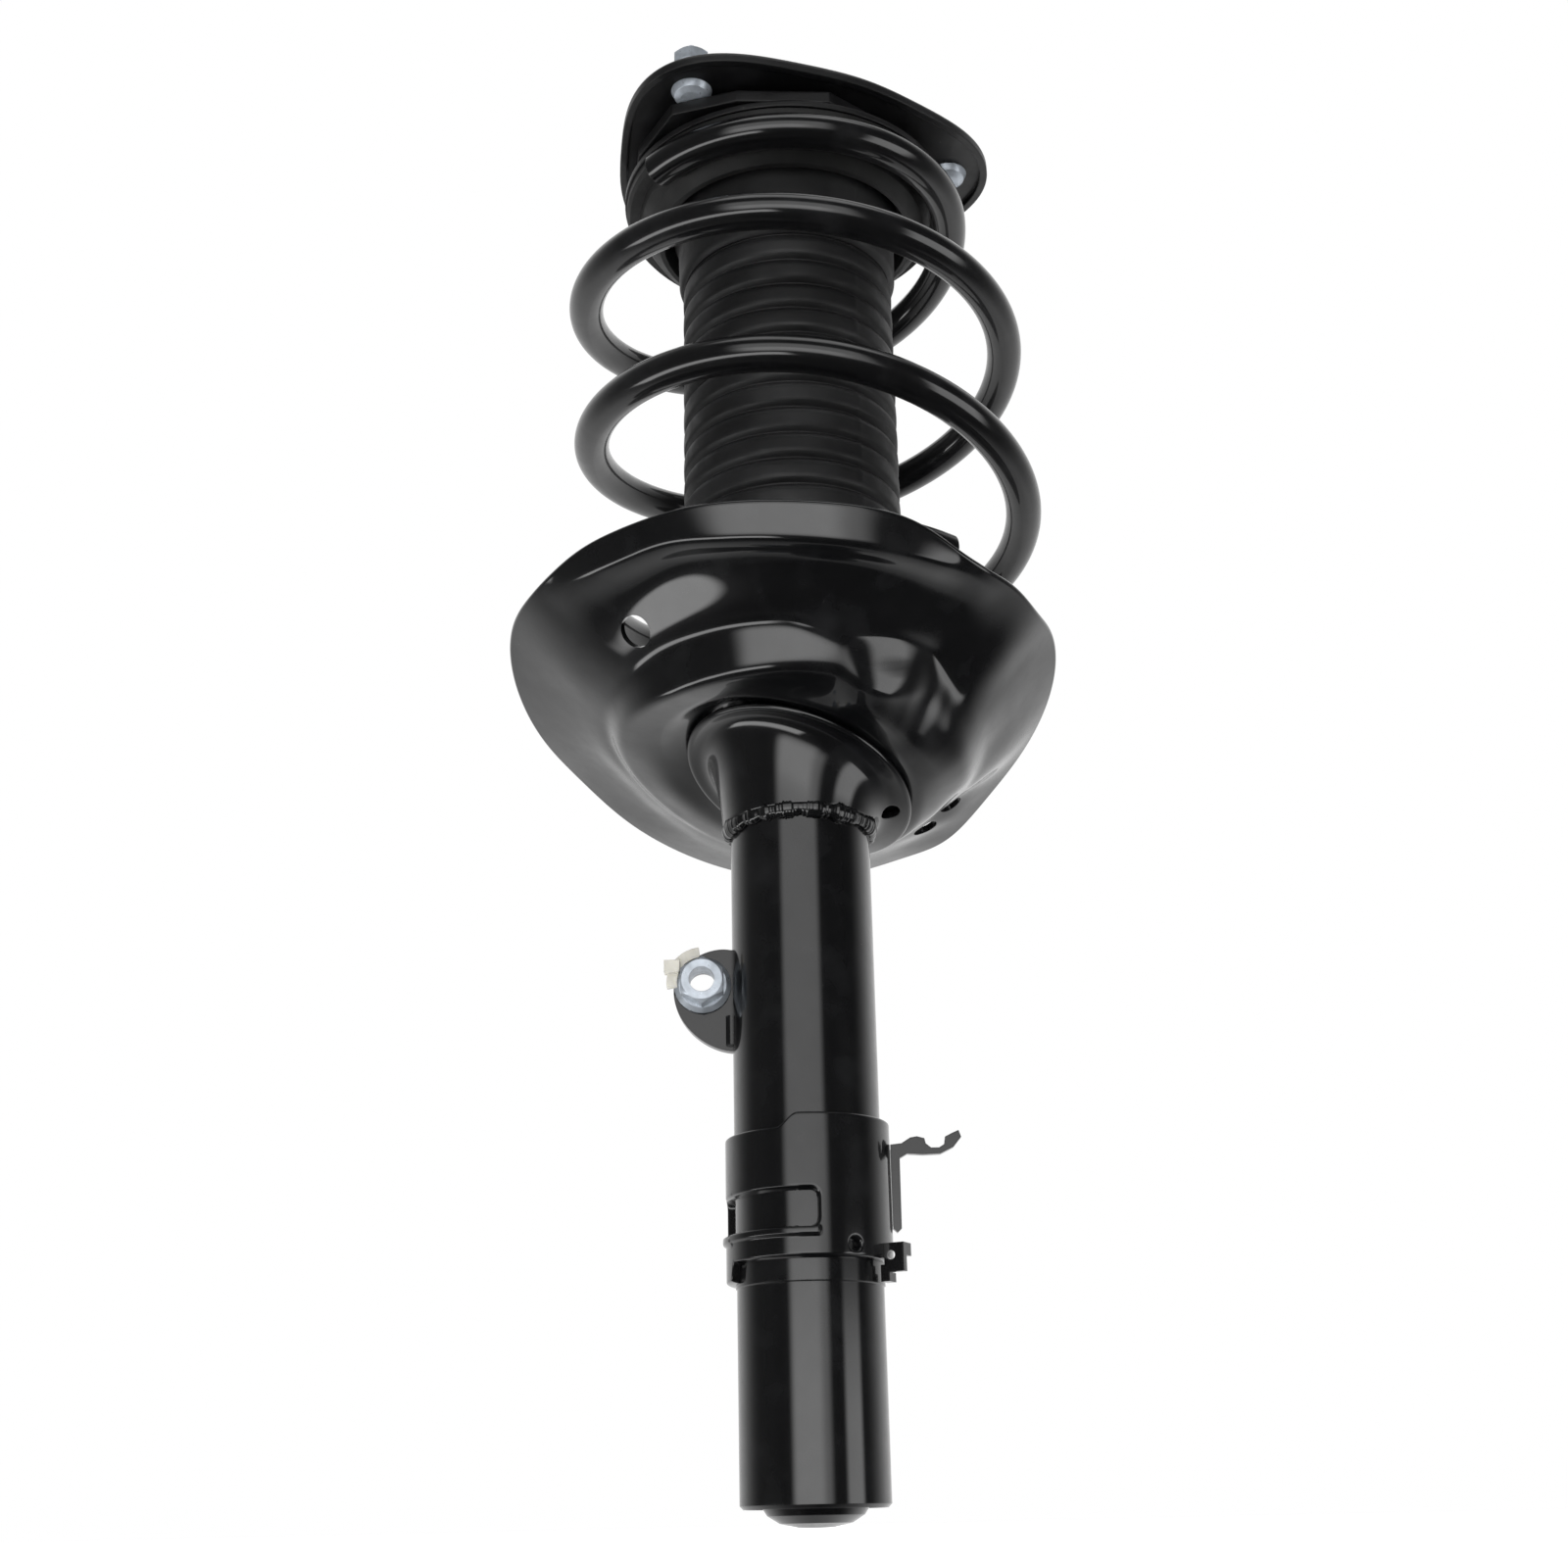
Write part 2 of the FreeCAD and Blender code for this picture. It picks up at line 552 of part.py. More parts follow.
def race(z0, z1, groove_z):
    ring = tube(43.5, 32.5, z0, z1)
    groove = Part.makeTorus(BALL_RING_R, BALL_R + 0.2, V(0, 0, groove_z))
    return ring.cut(groove)


def bearing_lower():
    return race(460.6, 463.9, 465.9)


def bearing_upper():
    return race(467.9, 471.7, 465.9)


def bearing_balls():
    balls = [Part.makeSphere(BALL_R, polar(BALL_RING_R, 360.0 * i / BALL_COUNT, 465.9)) for i in range(BALL_COUNT)]
    return Part.Compound(balls)


def bearing_cage():
    ring = tube(BALL_RING_R + 4.0, BALL_RING_R - 4.0, 465.0, 466.8)
    for i in range(BALL_COUNT):
        ring = ring.cut(Part.makeSphere(BALL_R + 0.15, polar(BALL_RING_R, 360.0 * i / BALL_COUNT, 465.9)))
    return ring


# ----------------------------------------------------------------- top mount

def plate_outline(inset, z0, z1):
    """A rounded triangle with its corners at the three studs, as a prism."""
    points = []
    for i in range(48):
        deg = 7.5 * i
        turn = math.radians(deg - STUD_ANGLES[1])
        r = PLATE_MEAN_R + PLATE_LOBE * math.cos(3 * turn) + 1.5 * math.cos(6 * turn) - inset
        points.append(polar(r, deg, z0))
    return Part.Face(Part.Wire([spline(points, True).toShape()])).extrude(V(0, 0, z1 - z0))


def mount_plate():
    skin = plate_outline(0.0, PLATE_TOP - PLATE_LIP, PLATE_TOP)
    top_edge = [e for e in skin.Edges if e.BoundBox.ZMin > PLATE_TOP - 0.01]
    skin = skin.makeFillet(2.4, top_edge)
    hollow = plate_outline(PLATE_T, PLATE_TOP - PLATE_LIP - 1, PLATE_TOP - PLATE_T)
    bell = revolve([(40.0, PLATE_TOP - PLATE_T), (46.0, PLATE_TOP - PLATE_T), (46.0, PLATE_TOP), (42.5, PLATE_TOP),
                    (37.5, 496.0), (35.0, 498.5), (20.0, 498.5), (20.0, 495.5), (34.0, 495.5)])
    plate = skin.cut(hollow).cut(disc(41.0, 470, 490)).fuse(bell)
    for deg in STUD_ANGLES:
        plate = plate.cut(Part.makeCylinder(STUD_R + 0.4, 20, polar(STUD_RING_R, deg, 470)))
    return plate.cut(Part.makeCylinder(2.5, 20, polar(PIN_RING_R, PIN_ANGLE, 470))).removeSplitter()


def mount_shell():
    """The lower pressing under the plate: flat-sided, clear of the stud heads."""
    angles = (-152, -128, -106, -74, -30, -10, 8, 30, 78, 104, 130, 152, 180)
    rings = (66, 71, 66, 64, 62, 60, 60, 62, 64, 66, 71, 64, 63)
    points = [polar(r, deg, SHELL_Z) for r, deg in zip(rings, angles)]
    outline = Part.Face(Part.makePolygon(points + points[:1]))
    block = outline.extrude(V(0, 0, 5.0))
    hollow = disc(57.0, SHELL_Z - 1, SHELL_Z + 2.4)
    bore = disc(31.0, SHELL_Z - 2, SHELL_Z + 8)
    lands = tube(44.5, 25.0, SHELL_Z - 1, SHELL_Z + 2.0)
    return block.cut(hollow).cut(bore).cut(lands).removeSplitter()


def mount_core():
    return revolve([(6.1, 468.0), (13.0, 468.0), (13.0, 481.0), (30.0, 482.0), (30.0, 486.0), (13.0, 487.0),
                    (13.0, 492.0), (6.1, 492.0)])


def mount_rubber():
    body = revolve([(13.0, 475.2), (44.0, 475.2), (44.0, 479.8), (39.7, 479.8), (33.8, 495.2), (13.0, 493.0 - 1.2)])
    return body.cut(mount_core()).Solids[0]


def stud(deg):
    """M8 stud with a domed head under the plate; the tip above the nut's seat is threaded."""
    low = PLATE_TOP - PLATE_T
    body = revolve([(0, low - 4.3), (4.5, low - 3.9), (6.8, low - 2.6), (HEAD_R, low - 0.05), (STUD_R + 0.4, low - 0.05),
                    (STUD_R + 0.4, PLATE_TOP), (STUD_R, PLATE_TOP), (STUD_R, PLATE_TOP + 5.0),
                    (STUD_R - 0.4, PLATE_TOP + 5.4), (STUD_R - 0.4, STUD_TIP - 5), (1.6, STUD_TIP - 0.6),
                    (0.8, STUD_TIP), (0, STUD_TIP)])
    body.translate(polar(STUD_RING_R, deg))
    return body


def stud_nut(deg):
    z = PLATE_TOP + 5.6
    flange = revolve([(STUD_R - 0.38, z), (8.9, z), (8.9, z + 1.0), (7.2, z + 2.4), (STUD_R - 0.38, z + 2.4)])
    body = hexagon(13.0, z + 1.5, z + 8.0).common(revolve([(0, z), (7.6, z), (7.6, z + 7.0), (6.3, z + 8), (0, z + 8)]))
    nut = flange.fuse(body).cut(disc(STUD_R - 0.38, z - 1, z + 10)).removeSplitter()
    nut.translate(polar(STUD_RING_R, deg))
    return nut


def index_pin():
    body = revolve([(0, 475.9), (2.4, 476.3), (3.2, 478.2), (3.4, 479.95), (2.5, 479.95), (2.5, PLATE_TOP + 4),
                    (1.6, PLATE_TOP + 5), (0, PLATE_TOP + 5)])
    body.translate(polar(PIN_RING_R, PIN_ANGLE))
    return body


def piston_rod():
    return revolve([(0, 248), (4.95, 248), (4.95, 268), (ROD_R, 268), (ROD_R, 467.5), (6.0, 467.9), (6.0, 502),
                    (5.0, ROD_TIP), (0, ROD_TIP)])


def piston():
    body = tube(BORE_R - 0.05, 5.0, 255, 267.9)
    return body.cut(tube(BORE_R + 1, BORE_R - 1.0, 258.5, 264.5))


def piston_band():
    return tube(BORE_R - 0.03, BORE_R - 0.98, 258.6, 264.4)


def piston_nut():
    return hexagon(15.0, 249.0, 254.9).cut(disc(4.98, 240, 260))


def rebound_stop():
    return revolve([(ROD_R + 0.02, 270.0), (BORE_R - 0.8, 270.0), (BORE_R - 0.8, 277.6), (ROD_R + 0.02, 277.6)])


def stop_cup():
    """The cup clamped under the core, which the bump stop hangs from."""
    return revolve([(ROD_R + 0.03, 447.2), (24.0, 447.2), (24.0, 445.0), (25.6, 445.0), (25.6, 449.2),
                    (12.5, 449.2), (12.5, 467.8), (ROD_R + 0.03, 467.8)])


def rod_nut():
    body = hexagon(18.0, 492.1, 500.5).common(revolve([(0, 490), (10.6, 492.1), (10.6, 499.4), (9.0, 501), (0, 501)]))
    return body.cut(disc(6.03, 480, 510))


NODES = {
    "outer_tube": outer_tube, "end_cap": end_cap, "pressure_tube": pressure_tube, "base_valve": base_valve,
    "base_valve_rivet": base_valve_rivet, "rod_guide": rod_guide, "rod_seal": rod_seal,
    "closure_cap": closure_cap, "hose_sleeve": hose_sleeve, "hose_hook": hose_hook, "clip_tab": clip_tab,
    "link_bracket": link_bracket, "link_weld": link_weld, "link_nut": link_nut, "nut_retainer": nut_retainer,
    "spring_pan": spring_pan, "pan_support": pan_support, "pan_weld": pan_weld,
    "lower_isolator": lower_isolator, "coil_spring": coil_spring, "dust_boot": dust_boot,
    "upper_isolator": upper_isolator, "upper_seat": upper_seat, "bearing_lower": bearing_lower,
    "bearing_balls": bearing_balls, "bearing_cage": bearing_cage, "bearing_upper": bearing_upper,
    "mount_plate": mount_plate, "mount_shell": mount_shell, "mount_core": mount_core,
    "mount_rubber": mount_rubber, "index_pin": index_pin, "piston_rod": piston_rod, "piston": piston,
    "piston_band": piston_band, "piston_nut": piston_nut, "rebound_stop": rebound_stop,
    "stop_cup": stop_cup, "bump_stop": bump_stop, "rod_nut": rod_nut,
}

os.makedirs("parts", exist_ok=True)
for name, build in NODES.items():
    build().exportStep("parts/" + name + ".step")
for letter, angle in zip("abc", STUD_ANGLES):
    stud(angle).exportStep("parts/stud_" + letter + ".step")
    stud_nut(angle).exportStep("parts/stud_nut_" + letter + ".step")
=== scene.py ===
import json
import math

import bmesh
import bpy
import numpy as np
from mathutils import Matrix, Vector


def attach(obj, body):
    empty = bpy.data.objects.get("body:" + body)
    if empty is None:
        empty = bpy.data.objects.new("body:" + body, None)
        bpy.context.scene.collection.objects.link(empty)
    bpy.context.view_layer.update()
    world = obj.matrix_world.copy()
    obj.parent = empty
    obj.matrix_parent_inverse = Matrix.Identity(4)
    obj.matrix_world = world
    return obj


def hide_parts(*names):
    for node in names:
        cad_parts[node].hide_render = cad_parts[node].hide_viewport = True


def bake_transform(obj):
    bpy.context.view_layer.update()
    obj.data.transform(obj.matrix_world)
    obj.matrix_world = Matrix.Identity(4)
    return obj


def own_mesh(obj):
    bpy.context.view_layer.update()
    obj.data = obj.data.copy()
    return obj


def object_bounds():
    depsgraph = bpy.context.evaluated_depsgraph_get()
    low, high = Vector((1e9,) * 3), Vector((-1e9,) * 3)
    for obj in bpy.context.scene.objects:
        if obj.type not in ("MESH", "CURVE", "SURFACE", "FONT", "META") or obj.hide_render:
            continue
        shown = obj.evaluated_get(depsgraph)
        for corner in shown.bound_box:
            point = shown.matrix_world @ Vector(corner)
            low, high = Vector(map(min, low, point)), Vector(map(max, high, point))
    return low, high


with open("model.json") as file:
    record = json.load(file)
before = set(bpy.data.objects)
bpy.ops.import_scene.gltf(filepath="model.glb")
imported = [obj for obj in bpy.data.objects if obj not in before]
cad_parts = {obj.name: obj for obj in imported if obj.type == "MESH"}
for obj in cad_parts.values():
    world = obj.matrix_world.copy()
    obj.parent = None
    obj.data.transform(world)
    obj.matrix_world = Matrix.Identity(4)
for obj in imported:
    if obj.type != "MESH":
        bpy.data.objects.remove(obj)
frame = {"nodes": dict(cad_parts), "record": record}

CAD_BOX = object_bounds()
MM = 0.001

# Shared sizes, in millimetres, as the design has them
TUBE_R = 25.4
NECK_R, NECK_Z, NECK_TILT, NECK_HIGH = 45.0, 214.5, 17.0, 225.0
FLANGE_R, BELL_R = 40.0, 28.2
PAN_T = 2.6
PAN_HOLE_R = 30.0
WELD_Z = 194.0
WIRE_R = 6.75
COIL_R, COIL_TOP_R, COIL_END_R = 83.0, 67.0, 79.0
COIL_STATIONS = [(-138, 452.7), (-90, 452.7), (0, 451.9), (90, 436.0), (180, 415.5), (270, 404.4),
                 (360, 390.0), (450, 370.0), (540, 353.7), (630, 344.0), (720, 318.2), (810, 300.0),
                 (900, 289.0), (945, 284.0), (990, 277.5), (1025, 273.5)]
BOOT_R = 42.0
BOOT_FOOT = 248.0
BOOT_LOW, BOOT_PITCH, BOOT_FOLDS = 262.0, 10.85, 15
BOOT_CUFF, BOOT_TOP = 444.0, 457.6
BOOT_SEAMS = (128.0, 308.0)
ROD_FREE = 10.6                 # bore of the foam stop round the rod
STOP_TOP = 447.0

# Sleeve
SLEEVE_T = 3.1
SLEEVE_LOW = 37.4
SLEEVE_TOP = 85.7
SLEEVE_STEP = 4.6               # how much lower its top edge is at the back
SLEEVE_LUG = 6.0
SLEEVE_EDGE = 1.3
SLEEVE_WINDOW = (172, 276, 47.8, 59.6, 2.6)         # start, end, low, high, corner radius
SLEEVE_PIN = (298.4, 305.6, 40.1, 43.7, 1.79)
SLEEVE_LIP = (164, 278, 44.0, 48.0, 1.5)
LIP_RISE = 1.1
SUNK = 0.15                     # how far the sleeve's open edges reach into the tube's paint

# Pan
# Heights of the pan's underside for each angle: floor, floor's edge, foot and top of the helical
# step's wall, the slope outside it, and the coil's seat
STEP_R = 64.5
SEAT_RING = 83.0
PAN_HEIGHTS = {
    0: (206.0, 211.0, 213.5, 218.5, 226.0, 240.0), 15: (204.0, 211.5, 213.0, 215.5, 219.0, 230.5),
    30: (203.5, 210.2, 212.0, 214.8, 219.0, 226.0), 38: (203.5, 209.2, 210.8, 213.5, 217.5, 221.3),
    45: (203.0, 207.8, 208.9, 210.5, 212.0, 216.0), 60: (202.5, 205.3, 205.8, 206.7, 207.7, 210.5),
    75: (202.0, 204.0, 204.3, 204.9, 205.5, 207.0), 90: (203.0, 203.9, 204.1, 204.5, 205.0, 206.0),
    105: (205.5, 206.3, 206.6, 207.1, 207.6, 209.0), 120: (209.2, 210.3, 210.7, 211.4, 212.3, 215.0),
    135: (213.5, 215.5, 216.2, 218.0, 220.0, 224.5), 150: (217.8, 221.5, 222.5, 225.2, 228.0, 233.5),
    165: (222.5, 226.5, 227.6, 231.8, 234.4, 240.0), 180: (226.0, 229.0, 230.4, 236.2, 239.8, 246.2),
    195: (228.3, 230.0, 231.3, 238.6, 242.6, 249.8), 210: (229.5, 230.0, 231.5, 241.5, 245.8, 255.5),
    225: (230.0, 230.0, 231.5, 244.7, 249.8, 264.0), 240: (230.0, 230.5, 232.0, 246.7, 251.5, 268.0),
    255: (229.8, 231.0, 232.5, 247.6, 252.0, 266.4), 268: (229.2, 231.2, 232.8, 247.2, 251.2, 264.6),
    277: (228.0, 230.6, 232.2, 243.8, 248.6, 263.4), 284: (226.0, 229.2, 230.6, 240.6, 246.8, 262.5),
    290: (222.5, 225.5, 226.8, 241.0, 247.2, 261.8), 300: (219.0, 223.8, 226.0, 242.8, 247.8, 260.6),
    310: (217.0, 226.0, 229.2, 243.8, 247.5, 259.0), 318: (215.5, 228.5, 232.8, 242.6, 245.8, 255.5),
    326: (213.0, 224.5, 229.0, 236.2, 240.6, 252.0), 335: (210.5, 218.5, 222.0, 228.0, 234.5, 247.0),
    345: (208.0, 213.5, 216.5, 222.5, 230.5, 245.7),
}
# Ring, angle and radius of each punched hole
PAN_HOLES = [(75.4, 221.0, 6.0), (62.1, 56.8, 5.0), (73.0, 46.7, 5.0), (74.5, 37.0, 4.6)]
FLANGE_HOLE = (33.4, -4.0, 3.6)
BEAD_R = 3.3
BEAD_OUT = 0.62                 # how proud the weld bead stands, as a share of its half height
BEAD_POOL = 3.6                 # spacing of the pools along the bead

# Camera: its place in millimetres, how far it looks up, how far the axis leans in view, its lens
CAMERA_AT = (-5.47, -698.0, -45.07)
CAMERA_RISE = 20.26855
CAMERA_ROLL = 1.20768
CAMERA_LENS = 46.125
SENSOR = 36.0

# Studio, in metres, degrees and radiance
FLOOR_R, FLOOR_DROP = 6.0, 0.0005
LIGHT_REACH = 2.4
# name, azimuth, elevation, size, radiance
LIGHTS = (("key_box", -8, 30, 1.4, 0.8), ("right_box", 70, 10, 0.9, 0.5), ("floor_fill", 0, 89, 3.0, 1.6))
# left, right, low, high, level, fade at the sides, fade at the top and bottom
SKY_BOXES = ((-33, 26, -12, 30, 1.45, 6, 6),
             (-30, 14, -16, 7, 1.2, 7, 4),
             (50, 78, -30, 5.5, 2.2, 5, 3),
             (-95, -15, -37, -24, 3.6, 4, 3),
             (-60, 80, 58, 80, 1.3, 14, 6))


def smooth(x, low, high):
    """0 below low, 1 above high, with an even ease between."""
    t = np.clip((np.asarray(x, float) - low) / (high - low), 0.0, 1.0)
    return t * t * (3.0 - 2.0 * t)


def hermite(t):
    """Weights of start height, start slope, end height and end slope."""
    return 2 * t ** 3 - 3 * t * t + 1, t ** 3 - 2 * t * t + t, 3 * t * t - 2 * t ** 3, t ** 3 - t * t


# ------------------------------------------------------------------ materials

class Look:
    """A small wrapper that builds a procedural material node by node."""

    def __init__(self, name):
        self.mat = bpy.data.materials.new(name)
        self.mat.use_nodes = True
        self.nodes = self.mat.node_tree.nodes
        self.links = self.mat.node_tree.links
        self.shader = self.nodes["Principled BSDF"]
        self.coord = self.nodes.new("ShaderNodeTexCoord").outputs["Object"]

    def put(self, socket, value):
        self.shader.inputs[socket].default_value = value

    def link(self, output, socket):
        self.links.new(output, self.shader.inputs[socket])

    def noise(self, scale, detail=3.0, stretch=None, distortion=0.0):
        node = self.nodes.new("ShaderNodeTexNoise")
        node.inputs["Scale"].default_value = scale
        node.inputs["Detail"].default_value = detail
        node.inputs["Distortion"].default_value = distortion
        source = self.coord
        if stretch:
            shape = self.nodes.new("ShaderNodeMapping")
            shape.inputs["Scale"].default_value = stretch
            self.links.new(self.coord, shape.inputs["Vector"])
            source = shape.outputs["Vector"]
        self.links.new(source, node.inputs["Vector"])
        return node.outputs["Fac"]

    def cells(self, scale):
        node = self.nodes.new("ShaderNodeTexVoronoi")
        node.inputs["Scale"].default_value = scale
        self.links.new(self.coord, node.inputs["Vector"])
        return node.outputs["Distance"]

    def spread(self, value, low, high, out_low=0.0, out_high=1.0):
        node = self.nodes.new("ShaderNodeMapRange")
        node.inputs["From Min"].default_value = low
        node.inputs["From Max"].default_value = high
        node.inputs["To Min"].default_value = out_low
        node.inputs["To Max"].default_value = out_high
        self.links.new(value, node.inputs["Value"])
        return node.outputs["Result"]

    def mix(self, factor, low, high):
        node = self.nodes.new("ShaderNodeMix")
        node.data_type = "RGBA"
        node.inputs["A"].default_value = (*low, 1.0)
        node.inputs["B"].default_value = (*high, 1.0)
        self.links.new(factor, node.inputs["Factor"])
        return node.outputs["Result"]

    def times(self, a, b):
        node = self.nodes.new("ShaderNodeMath")
        node.operation = "MULTIPLY"
        self.links.new(a, node.inputs[0])
        self.links.new(b, node.inputs[1])
        return node.outputs["Value"]

    def bump(self, height, strength, distance, below=None):
        node = self.nodes.new("ShaderNodeBump")
        node.inputs["Strength"].default_value = strength
        node.inputs["Distance"].default_value = distance
        self.links.new(height, node.inputs["Height"])
        if below is not None:
            self.links.new(below, node.inputs["Normal"])
        return node.outputs["Normal"]

    def soft_edges(self, radius):
        node = self.nodes.new("ShaderNodeBevel")
        node.samples = 6
        node.inputs["Radius"].default_value = radius
        return node.outputs["Normal"]


def black_paint(name, base, roughness, coat, edge=0.0011, ripple=0.10):
    """Stoved black paint: a thin gloss film over steel, with orange peel, dust and a few bare specks."""
    look = Look(name)
    dust = look.spread(look.noise(55.0, 5.0), 0.52, 0.80)
    fleck = look.spread(look.cells(420.0), 0.055, 0.02)
    sparse = look.spread(look.noise(38.0, 1.0), 0.66, 0.70)
    chips = look.times(fleck, sparse)
    film = look.mix(dust, base, tuple(c * 2.2 + 0.004 for c in base))
    chipped = look.nodes.new("ShaderNodeMix")
    chipped.data_type = "RGBA"
    look.links.new(chips, chipped.inputs["Factor"])
    look.links.new(film, chipped.inputs["A"])
    chipped.inputs["B"].default_value = (0.30, 0.29, 0.28, 1.0)
    look.link(chipped.outputs["Result"], "Base Color")
    look.link(look.spread(look.noise(130.0, 4.0), 0.35, 0.75, roughness, roughness + 0.12), "Roughness")
    look.put("Coat Weight", coat)
    look.put("Coat Roughness", 0.03)
    look.put("Coat IOR", 1.56)
    look.put("Specular IOR Level", 0.16 if coat > 0.5 else 0.5)
    normal = look.soft_edges(edge)
    normal = look.bump(look.noise(22.0, 2.0), ripple, 0.0016, normal)
    normal = look.bump(look.noise(520.0, 3.0), 0.05, 0.0003, normal)
    look.link(normal, "Normal")
    return look.mat


def rubber(name, base, roughness, grain=900.0):
    """Moulded rubber: a fine grain, with pale bloom in patches."""
    look = Look(name)
    bloom = look.spread(look.noise(42.0, 6.0), 0.45, 0.75)
    look.link(look.mix(bloom, base, tuple(c * 1.7 + 0.003 for c in base)), "Base Color")
    look.link(look.spread(look.noise(160.0, 4.0), 0.3, 0.7, roughness - 0.06, roughness + 0.08), "Roughness")
    look.put("IOR", 1.48)
    normal = look.soft_edges(0.0005)
    normal = look.bump(look.noise(grain, 4.0), 0.18, 0.0002, normal)
    look.link(normal, "Normal")
    return look.mat


def plated(name, base, roughness, shade=0.72, metal=1.0):
    """Zinc-plated or turned steel: brushed round, with cloudy plating."""
    look = Look(name)
    cloud = look.spread(look.noise(210.0, 5.0), 0.35, 0.7)
    look.link(look.mix(cloud, base, tuple(c * shade for c in base)), "Base Color")
    look.put("Metallic", metal)
    look.link(look.spread(look.noise(480.0, 4.0), 0.3, 0.7, roughness, roughness + 0.16), "Roughness")
    normal = look.soft_edges(0.0003)
    normal = look.bump(look.noise(1500.0, 3.0), 0.10, 0.0001, normal)
    look.link(normal, "Normal")
    return look.mat


def polished(name):
    """Hard chrome on the rod: near-mirror, with fine lines round it."""
    look = Look(name)
    look.put("Base Color", (0.72, 0.73, 0.75, 1.0))
    look.put("Metallic", 1.0)
    lines = look.noise(90.0, 2.0, stretch=(1.0, 1.0, 60.0))
    look.link(look.spread(lines, 0.3, 0.7, 0.05, 0.12), "Roughness")
    look.link(look.bump(lines, 0.03, 0.0001), "Normal")
    return look.mat


def plastic(name, base, roughness, glow=0.0):
    look = Look(name)
    tint = look.spread(look.noise(180.0, 4.0), 0.35, 0.7)
    look.link(look.mix(tint, base, tuple(c * 0.82 for c in base)), "Base Color")
    look.link(look.spread(look.noise(300.0, 3.0), 0.3, 0.7, roughness - 0.05, roughness + 0.1), "Roughness")
    look.put("Subsurface Weight", glow)
    look.put("Subsurface Radius", (0.002, 0.002, 0.0015))
    normal = look.soft_edges(0.0004)
    look.link(look.bump(look.noise(700.0, 3.0), 0.08, 0.0002, normal), "Normal")
    return look.mat


def foam(name):
    """Microcellular polyurethane: matte cream; each open pore is dented by the bump and darkened in colour as
    painted shade.
    """
    look = Look(name)
    # Pore pattern: real dents through the bump below, and painted shade through the colour, darkest at each
    # pore's centre
    pore_dents_and_shade = look.spread(look.cells(700.0), 0.0, 0.35)
    look.link(look.mix(pore_dents_and_shade, (0.22, 0.18, 0.10), (0.55, 0.47, 0.28)), "Base Color")
    look.put("Roughness", 0.9)
    look.link(look.bump(pore_dents_and_shade, 0.4, 0.0003), "Normal")
    return look.mat


LOOKS = {
    "gloss_black": black_paint("gloss_black", (0.0022, 0.0023, 0.0027), 0.30, 1.0),
    "satin_black": black_paint("satin_black", (0.0035, 0.0035, 0.004), 0.40, 0.15),
    "spring_coat": black_paint("spring_coat", (0.0030, 0.0030, 0.0034), 0.30, 0.9, ripple=0.05),
    "boot_rubber": rubber("boot_rubber", (0.0075, 0.0075, 0.008), 0.50),
    "isolator_rubber": rubber("isolator_rubber", (0.008, 0.008, 0.008), 0.50),
    "seal_rubber": rubber("seal_rubber", (0.02, 0.02, 0.02), 0.42),
    "bump_foam": foam("bump_foam"),
    "zinc": plated("zinc", (0.55, 0.60, 0.66), 0.26, 0.66, metal=0.6),
    "rod_chrome": polished("rod_chrome"),
    "inner_steel": plated("inner_steel", (0.42, 0.42, 0.43), 0.30),
    "nylon": plastic("nylon", (0.72, 0.70, 0.63), 0.45, 0.35),
    "ptfe": plastic("ptfe", (0.06, 0.10, 0.075), 0.5),
}

SLOT_OF = {part["node"]: part["material_slot"] for part in frame["record"]["subparts"]}
for node, obj in frame["nodes"].items():
    obj.data.materials.clear()
    obj.data.materials.append(LOOKS[SLOT_OF[node]])


# ----------------------------------------------------------------- mesh tools

def as_piece(name, points, faces, look, body, sharp=35.0):
    """A mesh object from points in millimetres."""
    mesh = bpy.data.meshes.new(name)
    mesh.from_pydata([tuple(MM * float(c) for c in p) for p in points], [], faces)
    mesh.update()
    piece = bpy.data.objects.new(name, mesh)
    bpy.context.scene.collection.objects.link(piece)
    mesh.materials.append(LOOKS[look])
    mesh.shade_smooth()
    mesh.set_sharp_from_angle(angle=math.radians(sharp))
    if body:
        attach(piece, body)
    return piece


def lattice(rows, columns, wrap_rows=False, wrap_columns=False):
    """Quads over a grid of points stored row by row."""
    faces = []
    for i in range(rows if wrap_rows else rows - 1):
        for j in range(columns if wrap_columns else columns - 1):
            a, b = i * columns + j, i * columns + (j + 1) % columns
            k = (i + 1) % rows
            faces.append((a, b, k * columns + (j + 1) % columns, k * columns + j))
    return faces


# --------------------------------------------------------------- coil spring

def station_height(angle):
    """Height of the wire's centre, by a cubic through the stations."""
    s = COIL_STATIONS
    i = max(k for k in range(len(s) - 1) if s[k][0] <= angle)

    def slope(k):
        lo, hi = max(0, k - 1), min(len(s) - 1, k + 1)
        return (s[hi][1] - s[lo][1]) / (s[hi][0] - s[lo][0])

    h = s[i + 1][0] - s[i][0]
    t = (angle - s[i][0]) / h
    a, b, c, d = hermite(t)
    return a * s[i][1] + b * h * slope(i) + c * s[i + 1][1] + d * h * slope(i + 1)


def coil_centre(angle):
    r = COIL_TOP_R + (COIL_R - COIL_TOP_R) * float(smooth(angle, -10, 150))
    r += (COIL_END_R - COIL_R) * float(smooth(angle, 935, 1010))
    z = station_height(angle)
    lean = 0.048 * (COIL_STATIONS[0][1] - z)
    a = math.radians(angle)
    return np.array([r * math.cos(a) + lean, r * math.sin(a), z])


